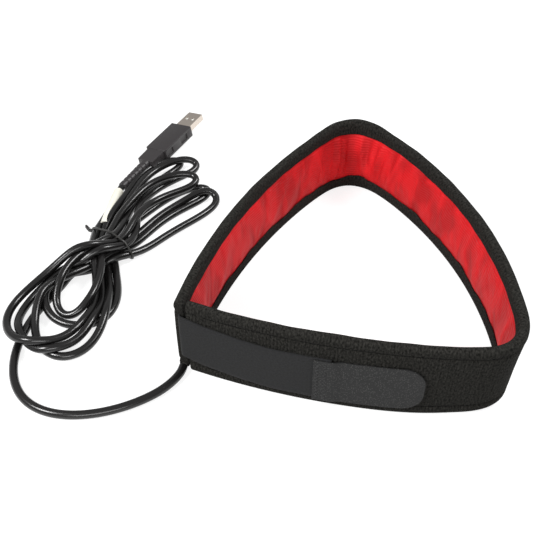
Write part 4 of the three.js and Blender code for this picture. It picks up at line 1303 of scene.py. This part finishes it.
def bevel_edges(piece, width, segments=3, angle=40):
    bevel = piece.modifiers.new("edges", "BEVEL")
    bevel.width = width
    bevel.segments = segments
    bevel.limit_method = "ANGLE"
    bevel.angle_limit = math.radians(angle)


def cut_with(piece, cutter):
    boolean = piece.modifiers.new("cut", "BOOLEAN")
    boolean.operation = "DIFFERENCE"
    boolean.object = cutter
    boolean.solver = "EXACT"
    apply_modifiers(piece)
    bpy.data.objects.remove(cutter)


def model_grip():
    """The moulded body: a wide front, a step to a narrower collar, bevelled long edges, side recesses."""
    y_back = -GRIP_LENGTH
    grip = box("moulded_grip", (GRIP_WIDTH, GRIP_LENGTH, GRIP_HEIGHT), (0, y_back / 2, 0))
    select_faces(grip, lambda centre, normal: normal.y < -0.9)
    bpy.ops.mesh.inset(thickness=0.0001)
    shrink = (COLLAR_WIDTH / GRIP_WIDTH, 1, COLLAR_HEIGHT / GRIP_HEIGHT)
    bpy.ops.transform.resize(value=shrink, center_override=(0, y_back, 0))
    bpy.ops.mesh.extrude_region_move(TRANSFORM_OT_translate={"value": (0, -COLLAR_LENGTH, 0)})
    bpy.ops.transform.resize(value=(0.94, 1, 0.96), center_override=(0, y_back - COLLAR_LENGTH, 0))
    select_faces(grip, lambda centre, normal: normal.y > 0.9)
    bpy.ops.mesh.inset(thickness=0.0009)
    bpy.ops.transform.translate(value=(0, 0.0006, 0))
    object_mode()
    bevel_edges(grip, GRIP_CHAMFER, 2, 60)
    apply_modifiers(grip)
    for side in (-1, 1):
        for start in RECESS_FROM_FRONT:
            cutter = box("recess", (2 * RECESS_DEPTH, RECESS_LENGTH, RECESS_HEIGHT),
                         (side * GRIP_WIDTH / 2, -start - RECESS_LENGTH / 2, 0))
            object_mode()
            bevel_edges(cutter, 0.0004, 2)
            apply_modifiers(cutter)
            cut_with(grip, cutter)
    bevel_edges(grip, 0.00018, 2, 30)
    apply_modifiers(grip)
    select_only(grip)
    smooth_by_angle(40)
    lay_in_place(grip)
    finish_piece(grip, grip_rubber)
    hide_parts("plug_grip")


def model_shell():
    """The sheet metal shell: an open box with a thin wall, two latch windows on each face and a seam."""
    shell = box("metal_shell", (SHELL_WIDTH, SHELL_LENGTH, SHELL_HEIGHT), (0, SHELL_LENGTH / 2 + GAP / 2, 0))
    select_faces(shell, lambda centre, normal: abs(normal.y) > 0.9)
    bpy.ops.mesh.inset(thickness=SHELL_SHEET)
    bpy.ops.mesh.bridge_edge_loops()
    bpy.ops.mesh.select_all(action="SELECT")
    bpy.ops.mesh.normals_make_consistent(inside=False)
    object_mode()
    mouth = SHELL_LENGTH - WINDOW_FROM_TIP
    for side in (-1, 1):
        cutter = box("window", (WINDOW_WIDTH, WINDOW_LENGTH, 2 * SHELL_HEIGHT),
                     (side * WINDOW_SPACING / 2, mouth - WINDOW_LENGTH / 2, 0))
        object_mode()
        cut_with(shell, cutter)
    seam = box("seam", (0.00012, SHELL_LENGTH * 2, 0.0003), (0, SHELL_LENGTH / 2, -SHELL_HEIGHT / 2))
    object_mode()
    cut_with(shell, seam)
    bevel_edges(shell, 0.00035, 3, 60)
    shell.modifiers["edges"].use_clamp_overlap = True
    apply_modifiers(shell)
    select_only(shell)
    smooth_by_angle(35)
    lay_in_place(shell)
    finish_piece(shell, nickel)
    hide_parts("plug_shell")


def model_relief():
    """The strain relief: a tapered sleeve with grooves that let it bend."""
    start = -GRIP_LENGTH - COLLAR_LENGTH
    ys, radii = [], []
    pitch = RELIEF_LENGTH / (RELIEF_GROOVES + 1)
    for t in np.linspace(0, 1, 113):
        y = t * RELIEF_LENGTH
        radius = (RELIEF_START + (RELIEF_END - RELIEF_START) * t) / 2
        nearest = abs((y / pitch + 0.5) % 1 - 0.5) * pitch
        inside = 0.4 * pitch < y < RELIEF_LENGTH - 0.4 * pitch
        groove = float(smoothstep((0.0009 - nearest) / 0.0003)) if inside else 0.0
        ys.append(start - y)
        radii.append(radius - 0.0008 * groove)
    line = np.array([(0.0, y, 0.0) for y in ys])
    relief = tube_piece("grooved_relief", line, np.array(radii), 20)
    lay_in_place(relief)
    finish_piece(relief, grip_rubber)
    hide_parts("plug_strain_relief")


model_grip()
model_shell()
model_relief()

# The CAD pieces that stay, inside and at the plug's mouth

KEPT_FINISHES = {
    "foam_pad": plain_material("grey_foam", linear(140, 140, 136), 0.95, 900.0),
    "heater_tape": plain_material("carrier_tape", linear(202, 162, 90), 0.5, 300.0),
    "heater_wire": metal_material("heating_alloy", linear(154, 150, 144), 0.35),
    "crimp": metal_material("tinned_brass", linear(199, 194, 180), 0.3),
    "lead_wire_lower": plain_material("red_insulation", linear(179, 20, 26), 0.4, 200.0),
    "lead_wire_upper": plain_material("black_insulation", linear(21, 21, 21), 0.4, 200.0),
    "cable_anchor": plain_material("dark_glue", linear(74, 71, 67), 0.5, 150.0),
    "plug_tongue": plain_material("white_insulator", linear(228, 228, 222), 0.5, 200.0),
    "plug_contact": metal_material("gold_plate", linear(217, 164, 65), 0.25),
}
for piece in bpy.data.objects:
    for start, material in KEPT_FINISHES.items():
        if piece.type == "MESH" and piece.name.startswith(start):
            for place in piece.material_slots:
                place.material = material
